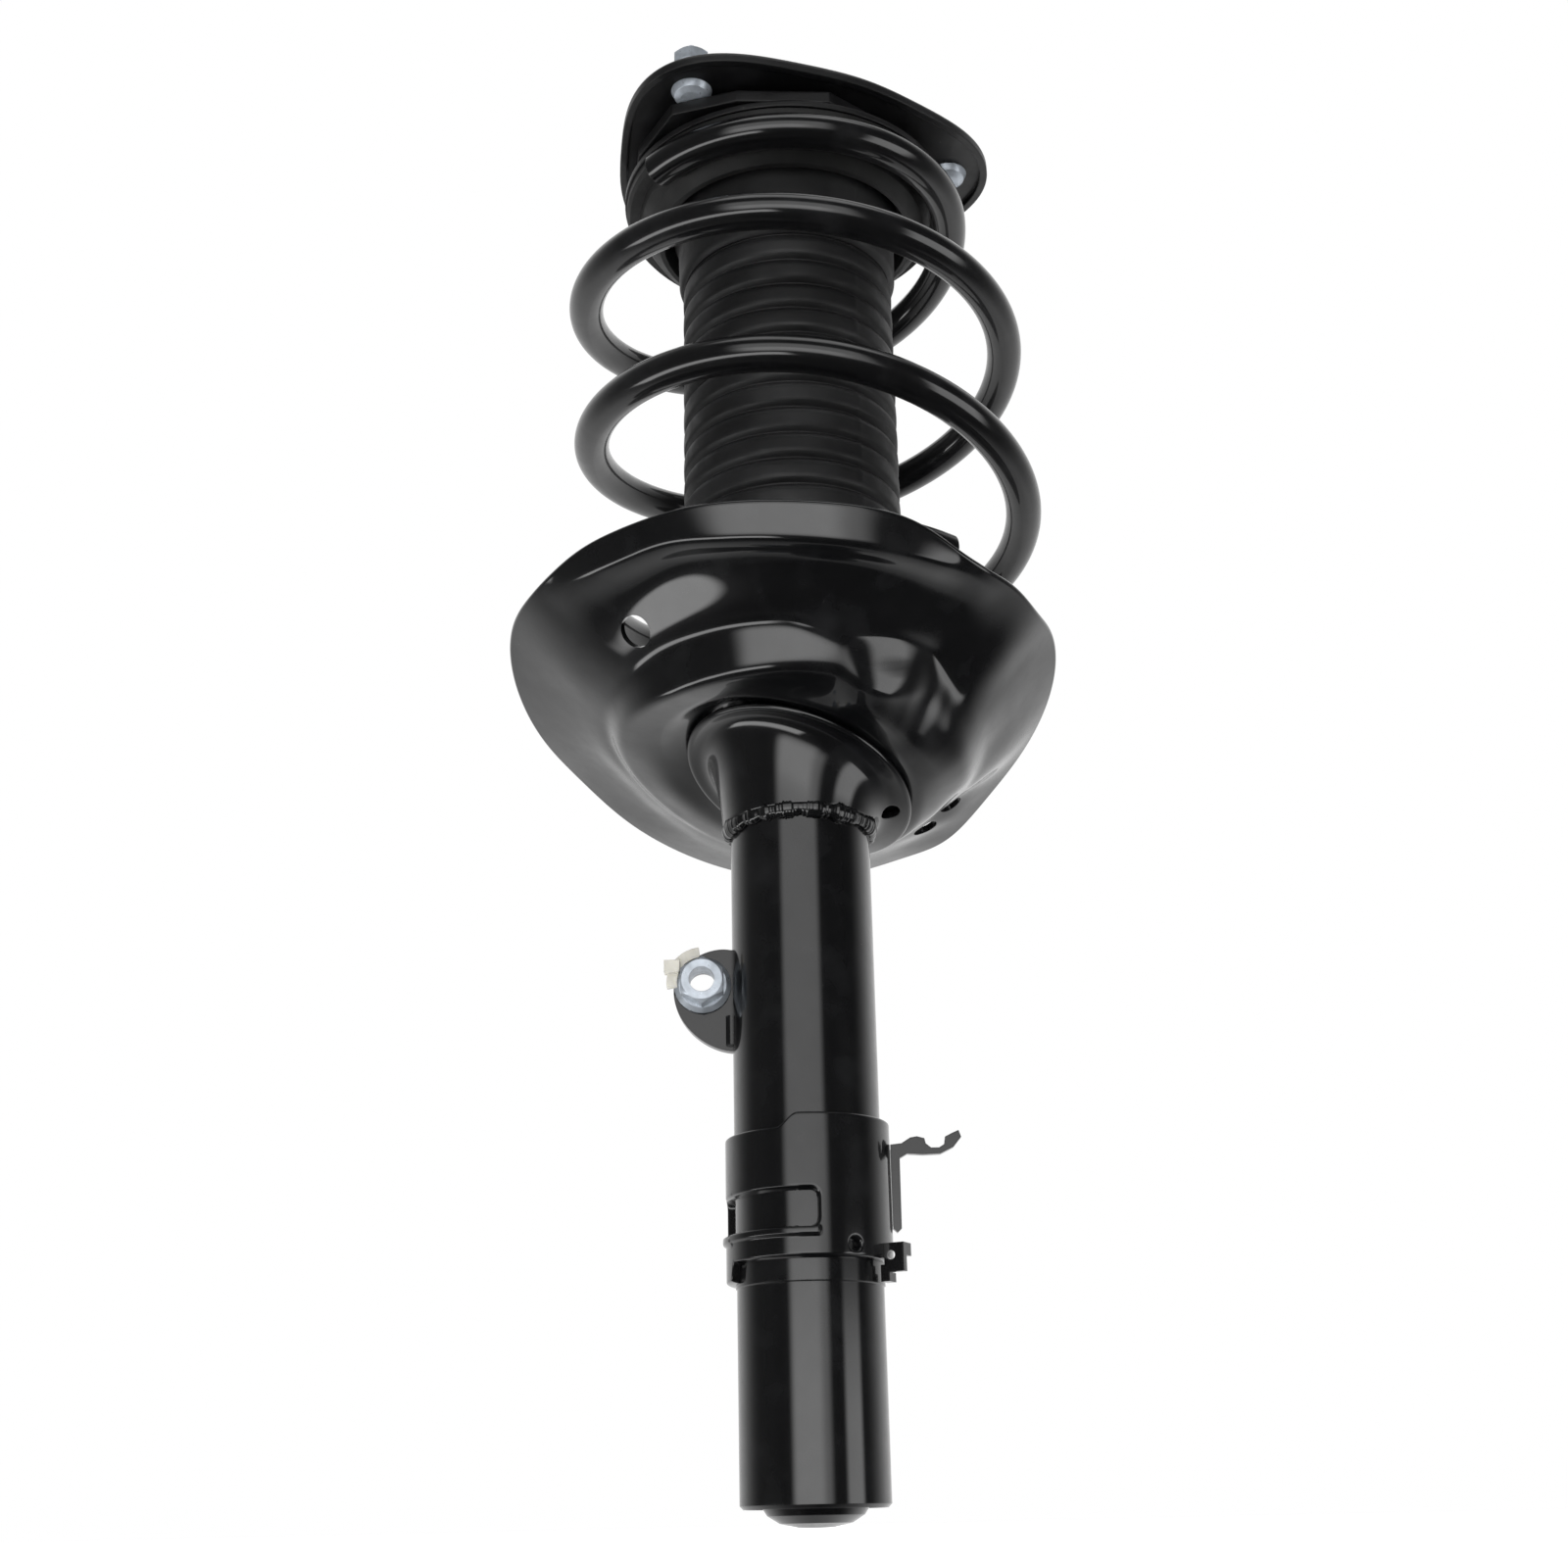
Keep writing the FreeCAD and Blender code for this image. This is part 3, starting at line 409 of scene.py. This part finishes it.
def build_coil():
    start, end = COIL_STATIONS[0][0], COIL_STATIONS[-1][0]
    sides, count = 40, 700
    angles = np.linspace(start, end, count)
    centres = np.array([coil_centre(a) for a in angles])
    tangents = np.gradient(centres, axis=0)
    tangents /= np.linalg.norm(tangents, axis=1)[:, None]
    rings, share = [], []
    turn = np.linspace(0, 2 * math.pi, sides, endpoint=False)

    def ring(centre, tangent, radius):
        out = np.cross(tangent, (0, 0, 1.0))
        out /= np.linalg.norm(out)
        up = np.cross(out, tangent)
        return centre + radius * (np.cos(turn)[:, None] * out + np.sin(turn)[:, None] * up)

    chamfer = 0.6
    shoulder = WIRE_R - chamfer
    first = [(centres[0], 0.0), (centres[0], shoulder), (centres[0] + chamfer * tangents[0], WIRE_R)]
    last = [(centres[-1] - chamfer * tangents[-1], WIRE_R), (centres[-1], shoulder), (centres[-1], 0.0)]
    for centre, radius in first:
        rings.append(ring(centre, tangents[0], max(radius, 0.01)))
        share.append(centre[2])
    for k in range(1, count - 1):
        rings.append(ring(centres[k], tangents[k], WIRE_R))
        share.append(centres[k][2])
    for centre, radius in last:
        rings.append(ring(centre, tangents[-1], max(radius, 0.01)))
        share.append(centre[2])
    points = np.concatenate(rings)
    piece = as_piece("coil_wire", points, lattice(len(rings), sides, wrap_columns=True), "spring_coat", None)
    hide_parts("coil_spring")
    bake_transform(piece)
    return piece


# -------------------------------------------------------------- boot and stop

def boot_profile():
    """Outer wall from the foot up, then the inner wall back down, as (r, z)."""
    foot, pitch = BOOT_FOOT, BOOT_PITCH
    outer = [(29.0, foot), (29.6, foot + 0.6), (29.6, foot + 8.6), (30.2, foot + 9.6), (33.4, foot + 11.0)]
    inner = [(TUBE_R + 0.35, foot), (TUBE_R + 0.35, foot + 10.4), (31.5, foot + 12.9)]
    groove, shoulder, crest = BOOT_R - 1.9, BOOT_R - 0.75, BOOT_R - 0.22
    for i in range(BOOT_FOLDS):
        low = BOOT_LOW + pitch * i
        outer += [(groove, low - 0.35), (groove, low + 0.35), (shoulder, low + 1.15), (crest, low + 1.9)]
        outer += [(BOOT_R + 0.12 * math.sin(math.pi * f), low + 2.2 + (pitch - 4.4) * f)
                  for f in (0.0, 0.25, 0.5, 0.75, 1.0)]
        outer += [(crest, low + pitch - 1.9), (shoulder, low + pitch - 1.15)]
        inner += [(BOOT_R - 3.6, low), (groove, low + 2.4), (groove, low + pitch - 2.4)]
    top = BOOT_LOW + pitch * BOOT_FOLDS
    outer += [(BOOT_R - 1.2, top), (BOOT_R + 0.9, top + 1.2), (BOOT_R + 1.7, top + 3.5),
              (BOOT_R + 2.0, BOOT_CUFF), (45.2, 448.5), (46.4, 452.0), (46.5, 457.0), (46.2, BOOT_TOP)]
    inner += [(BOOT_R - 0.5, top + 1.0), (BOOT_R, BOOT_CUFF), (44.6, 452.0), (44.6, BOOT_TOP)]
    return outer + inner[::-1]


def build_boot():
    """Bellows with two mould seams and evenly spaced folds up from the foot."""
    profile, sides = boot_profile(), 192
    points = []
    for k in range(sides):
        a = 2 * math.pi * k / sides
        seam = max(math.exp(-((math.degrees(a) - d) / 1.3) ** 2) for d in BOOT_SEAMS)
        for r, z in profile:
            ring = r + (0.40 * seam if r > BOOT_R - 1.0 and z > BOOT_LOW else 0.0)
            points.append((ring * math.cos(a), ring * math.sin(a), z))
    faces = lattice(sides, len(profile), True, True)
    piece = as_piece("bellows", points, faces, "boot_rubber", None, sharp=50)
    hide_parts("dust_boot")
    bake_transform(piece)


def turned(name, profile, look, sides=96):
    """A closed solid of revolution from (r, z) corners in millimetres."""
    points = []
    for k in range(sides):
        a = 2 * math.pi * k / sides
        points += [(r * math.cos(a), r * math.sin(a), z) for r, z in profile]
    return as_piece(name, points, lattice(sides, len(profile), True, True), look, None)


def build_stop():
    """The bump stop: waisted foam under the cup, squeezed between the cup and the tube's cap."""
    outer = [(15.5, 392.0), (17.5, 392.6), (19.0, 396.0), (19.2, 401.0), (16.6, 405.0), (16.4, 406.5),
             (20.6, 411.5), (21.2, 417.0), (18.0, 421.5), (17.8, 423.0), (22.4, 428.0), (23.0, 434.0),
             (23.0, 446.4), (22.4, STOP_TOP)]
    inner = [(ROD_FREE, STOP_TOP), (ROD_FREE, 393.5), (13.0, 392.2)]
    piece = turned("foam_stop", outer + inner, "bump_foam")
    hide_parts("bump_stop")
    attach(piece, "top_mount")
    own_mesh(piece)


# -------------------------------------------------------------------- sleeve

def between(deg, start, end, ease):
    """1 from start to end, easing to 0 outside them."""
    return smooth(deg, start - ease, start + ease) * (1.0 - smooth(deg, end - ease, end + ease))


def box_distance(deg, z, start, end, low, high, corner):
    """Distance in millimetres from a rounded box on the sleeve's skin, below 0 inside it."""
    arc = math.radians(TUBE_R + SLEEVE_T)
    across = abs(deg - (start + end) / 2) * arc - (end - start) / 2 * arc + corner
    upright = abs(z - (low + high) / 2) - (high - low) / 2 + corner
    outside = math.hypot(max(across, 0.0), max(upright, 0.0))
    return outside + min(max(across, upright), 0.0) - corner


def sleeve_radius(deg, z, low, top):
    """Outer radius of the sleeve, with its window, its lip under the window and the pin hole."""
    openings = [box_distance(deg, z, *place) for place in (SLEEVE_WINDOW, SLEEVE_PIN)]
    reach = min(z - low, top - z, *openings)
    rise = 1.0 - (1.0 - min(1.0, max(0.0, reach / SLEEVE_EDGE))) ** 3
    lip = smooth(-box_distance(deg, z, *SLEEVE_LIP), 0.0, 1.2)
    return TUBE_R - SUNK + (SLEEVE_T + SUNK) * rise + LIP_RISE * lip * rise


def build_sleeve():
    turns, levels = ((600, 130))
    edge = [0.0, 0.08, 0.2, 0.4, 0.65, 0.95, SLEEVE_EDGE]
    points = []
    for k in range(turns):
        deg = 360.0 * k / turns
        a = math.radians(deg)
        top = SLEEVE_TOP - SLEEVE_STEP * smooth(deg, 106, 112) * (1.0 - smooth(deg, 247, 263))
        low = SLEEVE_LOW - SLEEVE_LUG * between(deg, 140, 203, 2.5)
        heights = [low + e for e in edge] + list(np.linspace(low + 1.7, top - 1.7, levels))
        heights += [top - e for e in edge[::-1]]
        ring = [(sleeve_radius(deg, z, low, top), z) for z in heights]
        ring += [(TUBE_R - 0.3, top), (TUBE_R - 0.3, low)]
        points += [(r * math.cos(a), r * math.sin(a), z) for r, z in ring]
    faces = lattice(turns, len(points) // turns, wrap_rows=True, wrap_columns=True)
    piece = as_piece("pressed_sleeve", points, faces, "gloss_black", "strut_tube", sharp=60)
    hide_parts("hose_sleeve")


# ---------------------------------------------------------------- spring pan

def dip(deg, centre, width):
    """A soft bump of height 1 round an angle."""
    off = (deg - centre + 180.0) % 360.0 - 180.0
    return math.exp(-(off / width) ** 2)


def rim_radius(deg):
    """Outline of the pan from above."""
    a = math.radians(deg)
    round_part = 99.5 - 5.0 * math.cos(a) + 3.0 * math.sin(a) + 3.5 * math.cos(2 * a) - 2.0 * math.sin(2 * a)
    return round_part - 1.5 * dip(deg, -20, 15) + 1.5 * dip(deg, 288, 26)


def rim_height(deg):
    """Height of the rim's underside: the tilt, then the waves round it."""
    a = math.radians(deg)
    level = 252.25 - 5.0 * math.cos(a) - 36.5 * math.sin(a) + 8.75 * math.cos(2 * a)
    waves = 3.5 * dip(deg, -37, 14) + 2.5 * dip(deg, -129, 14) + 4.0 * dip(deg, 51, 11)
    waves += 8.5 * dip(deg, 311, 13) + 7.0 * dip(deg, 334, 13) + 6.5 * dip(deg, 206, 16)
    return level - waves + 2.0 * dip(deg, 144, 11) - 0.8 * dip(deg, 288, 26)


def neck_height(deg):
    """The neck leans, highest towards NECK_HIGH degrees."""
    return NECK_Z + NECK_TILT * math.cos(math.radians(deg - NECK_HIGH))


def ring_heights(deg):
    """The pan's table heights for any angle, by a cubic round the table's angles."""
    deg = deg % 360.0
    angles = sorted(PAN_HEIGHTS)
    i = max(k for k, angle in enumerate(angles) if angle <= deg)
    count = len(angles)
    at = [angles[(i + k) % count] + 360.0 * ((i + k) // count) for k in (-1, 0, 1, 2)]
    rows = [PAN_HEIGHTS[angles[(i + k) % count]] for k in (-1, 0, 1, 2)]
    h = at[2] - at[1]
    t = (deg - at[1]) / h
    a, b, c, d = hermite(t)
    heights = []
    for p, q, u, v in zip(*rows):
        rise = (u - p) / (at[2] - at[0]) * h
        run = (v - q) / (at[3] - at[1]) * h
        heights.append(a * q + b * rise + c * u + d * run)
    return heights


def along_profile(knots, r):
    """A cubic through (r, z) knots that never overshoots them."""
    if r >= knots[-1][0]:
        return knots[-1][1]
    steps = [(b[1] - a[1]) / (b[0] - a[0]) for a, b in zip(knots, knots[1:])]

    def slope(k):
        if k == 0 or k == len(knots) - 1:
            return steps[max(0, k - 1)]
        before, after = steps[k - 1], steps[k]
        return 0.0 if before * after <= 0 else 2.0 * before * after / (before + after)

    i = max(k for k in range(len(knots) - 1) if knots[k][0] <= r)
    h = knots[i + 1][0] - knots[i][0]
    t = (r - knots[i][0]) / h
    a, b, c, d = hermite(t)
    return a * knots[i][1] + b * h * slope(i) + c * knots[i + 1][1] + d * h * slope(i + 1)


def pan_height(r, deg):
    """Underside of the pan: its leaning neck, the helical step, the coil's seat and the rim."""
    if r <= NECK_R:
        return neck_height(deg) + 0.12 * (NECK_R - r)
    rim, top = rim_radius(deg), rim_height(deg)
    wall = STEP_R + 4.5 * dip(deg, 172, 48)
    rings = (52.0, wall - 4.0, wall - 1.5, wall + 1.5, wall + 6.0, SEAT_RING)
    knots = [(NECK_R, neck_height(deg))] + list(zip(rings, ring_heights(deg)))
    seat = knots[-1][1]
    front = smooth(deg % 360.0, 205, 235) * (1.0 - smooth(deg % 360.0, 303, 322))
    foot = rim - 3.4
    straight = seat + (top - seat) * (foot - SEAT_RING) / (rim - SEAT_RING)
    knots.append((foot, straight + (seat + 2.5 - straight) * front))
    knots.append((rim, top))
    return along_profile(knots, r)


def dome_height(r, deg):
    """Underside of the support: from the weld it rises like a trumpet's bell to its flange."""
    t = min(1.0, max(0.0, (r - BELL_R) / (FLANGE_R - BELL_R)))
    low = WELD_Z + 1.6
    top = neck_height(deg) - PAN_T - 0.3
    return low + (top - low) * (1.0 - (1.0 - t) ** 4)


def soften(grid, reach):
    """Round the creases of a height grid (angle by radius) a little, as pressing does."""
    width = int(3 * reach) + 1
    weights = np.exp(-0.5 * (np.arange(-width, width + 1) / reach) ** 2)
    weights /= weights.sum()
    rows, columns = grid.shape
    around = np.concatenate([grid[-width:], grid, grid[:width]])
    turned = sum(w * around[k:k + rows] for k, w in enumerate(weights))
    edge_low = 2 * turned[:, :1] - turned[:, width:0:-1]
    edge_high = 2 * turned[:, -1:] - turned[:, -2:-width - 2:-1]
    along = np.concatenate([edge_low, turned, edge_high], axis=1)
    return sum(w * along[:, k:k + columns] for k, w in enumerate(weights))


def sheet_grid(height, inner, outer, rings, spokes, bias, reach):
    """Points of a pressed sheet's underside, angle by angle, with rounded creases."""
    degs = np.arange(spokes) * 360.0 / spokes
    share = np.linspace(0.0, 1.0, rings)
    share = 1.0 - (1.0 - share) ** bias if bias > 1 else share ** (1.0 / bias)
    radii = np.array([[inner(d) + (outer(d) - inner(d)) * f for f in share] for d in degs])
    heights = np.array([[height(r, d) for r in row] for row, d in zip(radii, degs)])
    if reach:
        heights = soften(heights, reach)
    angles = np.radians(degs)[:, None]
    return np.stack([radii * np.cos(angles), radii * np.sin(angles), heights], axis=2)


def grid_normals(points):
    """Unit normals of a grid, pointing up out of the sheet."""
    around = np.roll(points, -1, axis=0) - np.roll(points, 1, axis=0)
    along = np.gradient(points, axis=1)
    normals = np.cross(along, around)
    normals /= np.linalg.norm(normals, axis=2)[:, :, None]
    return normals


def pressed(name, under, thick, look, body, holes=(), node=None):
    """A sheet of even thickness over a grid, with rounded outer and inner edges and punched holes."""
    normals = grid_normals(under)
    out = under[:, -1] - under[:, -2]
    out /= np.linalg.norm(out, axis=1)[:, None]
    into = under[:, 0] - under[:, 1]
    into /= np.linalg.norm(into, axis=1)[:, None]
    columns = [under[:, j] for j in range(under.shape[1])]
    half = thick / 2
    for a in np.radians((-60, -30, 0, 30, 60)):
        columns.append(under[:, -1] + normals[:, -1] * half * (1 + math.sin(a)) + out * half * math.cos(a))
    columns += [under[:, j] + normals[:, j] * thick for j in range(under.shape[1] - 1, -1, -1)]
    for a in np.radians((60, 30, 0, -30, -60)):
        columns.append(under[:, 0] + normals[:, 0] * half * (1 + math.sin(a)) + into * half * math.cos(a))
    points = np.stack(columns, axis=1)
    spokes, count = points.shape[:2]
    faces = lattice(spokes, count, wrap_rows=True, wrap_columns=True)
    piece = as_piece(name, points.reshape(-1, 3), faces, look, None)
    for centre, normal, radius in holes:
        punch(piece, centre, normal, radius)
    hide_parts(node)
    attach(piece, body)
    return piece


def punch(piece, centre, normal, radius):
    """Cut a round hole square to the sheet."""
    mesh = bpy.data.meshes.new("punch")
    shape = bmesh.new()
    turn = Vector((0, 0, 1)).rotation_difference(Vector(normal)).to_matrix().to_4x4()
    bmesh.ops.create_cone(shape, cap_ends=True, segments=64, radius1=radius * MM, radius2=radius * MM,
                          depth=16 * MM, matrix=Matrix.Translation(Vector(centre) * MM) @ turn)
    shape.to_mesh(mesh)
    shape.free()
    tool = bpy.data.objects.new("punch", mesh)
    bpy.context.scene.collection.objects.link(tool)
    cut = piece.modifiers.new("hole", "BOOLEAN")
    cut.operation = "DIFFERENCE"
    cut.object = tool
    cut.solver = "EXACT"
    result = bpy.data.meshes.new_from_object(piece.evaluated_get(bpy.context.evaluated_depsgraph_get()))
    piece.modifiers.clear()
    look = piece.data.materials[0]
    piece.data = result
    result.materials.clear()
    result.materials.append(look)
    result.set_sharp_from_angle(angle=math.radians(35))
    bpy.data.objects.remove(tool)


def hole_frame(height, r, deg, radius):
    """Centre and axis of a hole on a sheet given by its height."""
    def at(ring, angle):
        a = math.radians(angle)
        return np.array([ring * math.cos(a), ring * math.sin(a), height(ring, angle)])
    here = at(r, deg)
    normal = np.cross(at(r + 1, deg) - here, at(r, deg + 1) - here)
    return here, normal / np.linalg.norm(normal), radius


def build_pan():
    rings, spokes = ((150, 720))
    under = sheet_grid(pan_height, lambda d: PAN_HOLE_R, rim_radius, rings, spokes, 1.35, rings / 75.0)
    holes = [hole_frame(pan_height, *hole) for hole in PAN_HOLES]
    pressed("pressed_pan", under, PAN_T, "gloss_black", "strut_tube", holes, "spring_pan")
    bell = sheet_grid(dome_height, lambda d: BELL_R, lambda d: FLANGE_R, 40, 240, 0.55, 0)
    holes = [hole_frame(dome_height, *FLANGE_HOLE)]
    pressed("pressed_bell", bell, PAN_T, "gloss_black", "strut_tube", holes, "pan_support")


def weld_bead(name, path, radius, look, node, ripple, seed=3):
    """A hand-laid bead: overlapping pools along a closed path, uneven in width and height."""
    random = np.random.default_rng(seed)
    path = np.array(path, float)
    count, sides = len(path), 20
    wander = np.convolve(random.normal(0, 1, count + 12), np.ones(9) / 9, "same")[6:6 + count]
    along = np.cumsum(np.linalg.norm(np.diff(path, axis=0, append=path[:1]), axis=1))
    pools = 0.5 + 0.5 * np.abs(np.sin(math.pi * along / ripple + 0.8 * wander))
    points = []
    for i in range(count):
        ahead, behind = path[(i + 1) % count], path[i - 1]
        tangent = (ahead - behind) / np.linalg.norm(ahead - behind)
        out = np.array([path[i][0], path[i][1], 0.0])
        out /= np.linalg.norm(out)
        out -= tangent * out.dot(tangent)
        out /= np.linalg.norm(out)
        up = np.cross(tangent, out)
        size = radius * (0.93 + 0.05 * pools[i] + 0.36 * wander[i])
        for k in range(sides):
            a = 2 * math.pi * k / sides
            points.append(path[i] + size * (math.cos(a) * out * BEAD_OUT + math.sin(a) * up))
    faces = lattice(count, sides, wrap_rows=True, wrap_columns=True)
    piece = as_piece(name, points, faces, look, None, sharp=60)
    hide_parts(node)
    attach(piece, "strut_tube")


def build_weld():
    low, r = WELD_Z - 0.2, TUBE_R + 0.9
    turn = np.radians(np.arange(0, 360, 0.75))
    ring = [(r * math.cos(a), r * math.sin(a), low + 0.5 * math.sin(3 * a)) for a in turn]
    weld_bead("pan_bead", ring, BEAD_R, "gloss_black", "pan_weld", BEAD_POOL)


# -------------------------------------------------------------------- camera

def add_camera():
    """Low down in front of the pan, looking up, with a very slight roll."""
    rise, roll = math.radians(CAMERA_RISE), math.radians(CAMERA_ROLL)
    # The strut's axis as the camera sees it: to the right, up, and ahead
    up = np.array([-math.sin(roll) * math.cos(rise), math.cos(roll) * math.cos(rise), math.sin(rise)])
    ahead = np.array([0, 0, 1.0])
    ahead = ahead - up * ahead.dot(up)
    ahead /= np.linalg.norm(ahead)
    side = np.cross(up, ahead)
    side = side if side[0] > 0 else -side
    axes = np.stack([side, ahead, up])
    data = bpy.data.cameras.new("camera")
    data.lens = CAMERA_LENS
    data.sensor_width = SENSOR
    data.clip_start = 0.02
    camera = bpy.data.objects.new("camera", data)
    bpy.context.scene.collection.objects.link(camera)
    turn = Matrix([[*map(float, row)] for row in np.stack([axes[:, 0], axes[:, 1], -axes[:, 2]], axis=1)])
    camera.matrix_world = Matrix.Translation(Vector(CAMERA_AT) * MM) @ turn.to_4x4()
    bpy.context.scene.camera = camera


def soft_box(name, azimuth, elevation, distance, size, radiance):
    """A square area light seen from the strut at an azimuth from the front, towards +X."""
    a, e = math.radians(azimuth), math.radians(elevation)
    aim = Vector((0, 0, 0.22))
    place = aim + distance * Vector((math.sin(a) * math.cos(e), -math.cos(a) * math.cos(e), math.sin(e)))
    data = bpy.data.lights.new(name, "AREA")
    data.shape = "RECTANGLE"
    data.size, data.size_y = size, size
    data.energy = radiance * math.pi * size * size
    light = bpy.data.objects.new(name, data)
    bpy.context.scene.collection.objects.link(light)
    light.location = place
    light.rotation_euler = (aim - place).to_track_quat("-Z", "Y").to_euler()
    light.visible_camera = False
    light.visible_glossy = False


class Sky:
    """Brightness by direction: a white cyclorama behind the strut and soft boxes in front of it."""

    def __init__(self):
        self.world = bpy.data.worlds.new("studio")
        bpy.context.scene.world = self.world
        self.world.use_nodes = True
        self.nodes, self.links = self.world.node_tree.nodes, self.world.node_tree.links
        parts = self.nodes.new("ShaderNodeSeparateXYZ")
        self.links.new(self.nodes.new("ShaderNodeTexCoord").outputs["Generated"], parts.inputs[0])
        front = self.math("MULTIPLY", parts.outputs["Y"], -1.0)
        self.azimuth = self.math("MULTIPLY", self.math("ARCTAN2", parts.outputs["X"], front), 180.0 / math.pi)
        self.elevation = self.math("MULTIPLY", self.math("ARCSINE", parts.outputs["Z"]), 180.0 / math.pi)

    def math(self, kind, a, b=None):
        node = self.nodes.new("ShaderNodeMath")
        node.operation = kind
        for socket, value in zip(node.inputs, (a, b)):
            if isinstance(value, (int, float)):
                socket.default_value = value
            elif value is not None:
                self.links.new(value, socket)
        return node.outputs[0]

    def ramp(self, value, low, high, out_low=0.0, out_high=1.0):
        node = self.nodes.new("ShaderNodeMapRange")
        node.interpolation_type = "SMOOTHSTEP"
        names = ("From Min", "From Max", "To Min", "To Max")
        for socket, number in zip(names, (low, high, out_low, out_high)):
            node.inputs[socket].default_value = number
        self.links.new(value, node.inputs["Value"])
        return node.outputs["Result"]

    def box(self, left, right, low, high, level, side, edge):
        """A soft box between azimuths and elevations in degrees, fading over its edges."""
        gates = [self.ramp(self.azimuth, left - side, left + side),
                 self.ramp(self.azimuth, right - side, right + side, 1, 0),
                 self.ramp(self.elevation, low - edge, low + edge),
                 self.ramp(self.elevation, high - edge, high + edge, 1, 0)]
        total = gates[0]
        for gate in gates[1:]:
            total = self.math("MULTIPLY", total, gate)
        return self.math("MULTIPLY", total, level)

    def finish(self, terms):
        total = terms[0]
        for term in terms[1:]:
            total = self.math("ADD", total, term)
        studio = self.nodes["Background"]
        studio.inputs["Color"].default_value = (1.0, 1.0, 1.0, 1.0)
        self.links.new(total, studio.inputs["Strength"])
        page = self.nodes.new("ShaderNodeBackground")
        page.inputs["Color"].default_value = (1.0, 1.0, 1.0, 1.0)
        page.inputs["Strength"].default_value = 1.0
        blend = self.nodes.new("ShaderNodeMixShader")
        self.links.new(self.nodes.new("ShaderNodeLightPath").outputs["Is Camera Ray"], blend.inputs[0])
        self.links.new(studio.outputs[0], blend.inputs[1])
        self.links.new(page.outputs[0], blend.inputs[2])
        self.links.new(blend.outputs[0], self.nodes["World Output"].inputs["Surface"])


def add_world():
    sky = Sky()
    right = sky.ramp(sky.azimuth, 84, 135, 0.0, 0.80)
    left = sky.ramp(sky.azimuth, -140, -90, 0.62, 0.0)
    below = sky.ramp(sky.elevation, -80, -35, 0.25, 1.0)
    backdrop = sky.math("MULTIPLY", sky.math("ADD", right, left), below)
    base = sky.ramp(sky.azimuth, -70, -30, 0.10, 0.03)
    sky.finish([backdrop, base] + [sky.box(*place) for place in SKY_BOXES])


def add_floor():
    """A pale card under the strut, faintly lit from within so that it has no horizon."""
    low, _ = CAD_BOX
    bpy.ops.mesh.primitive_circle_add(vertices=96, radius=FLOOR_R, fill_type="NGON",
                                      location=(0, 0, low[2] - FLOOR_DROP))
    floor = bpy.context.object
    floor.name = "studio_floor"
    look = Look("floor_card")
    look.link(look.mix(look.noise(3.0, 4.0), (0.86, 0.86, 0.86), (0.90, 0.90, 0.90)), "Base Color")
    look.put("Roughness", 0.8)
    look.put("Emission Color", (1.0, 1.0, 1.0, 1.0))
    look.put("Emission Strength", 0.7)
    floor.data.materials.append(look.mat)
    floor.visible_glossy = False


build_coil()
build_boot()
build_stop()
build_sleeve()
build_pan()
build_weld()
add_camera()
add_world()
add_floor()
for name, azimuth, elevation, size, level in LIGHTS:
    soft_box(name, azimuth, elevation, LIGHT_REACH, size, level)

scene = bpy.context.scene
scene.view_settings.view_transform = "Standard"
scene.view_settings.look = "None"
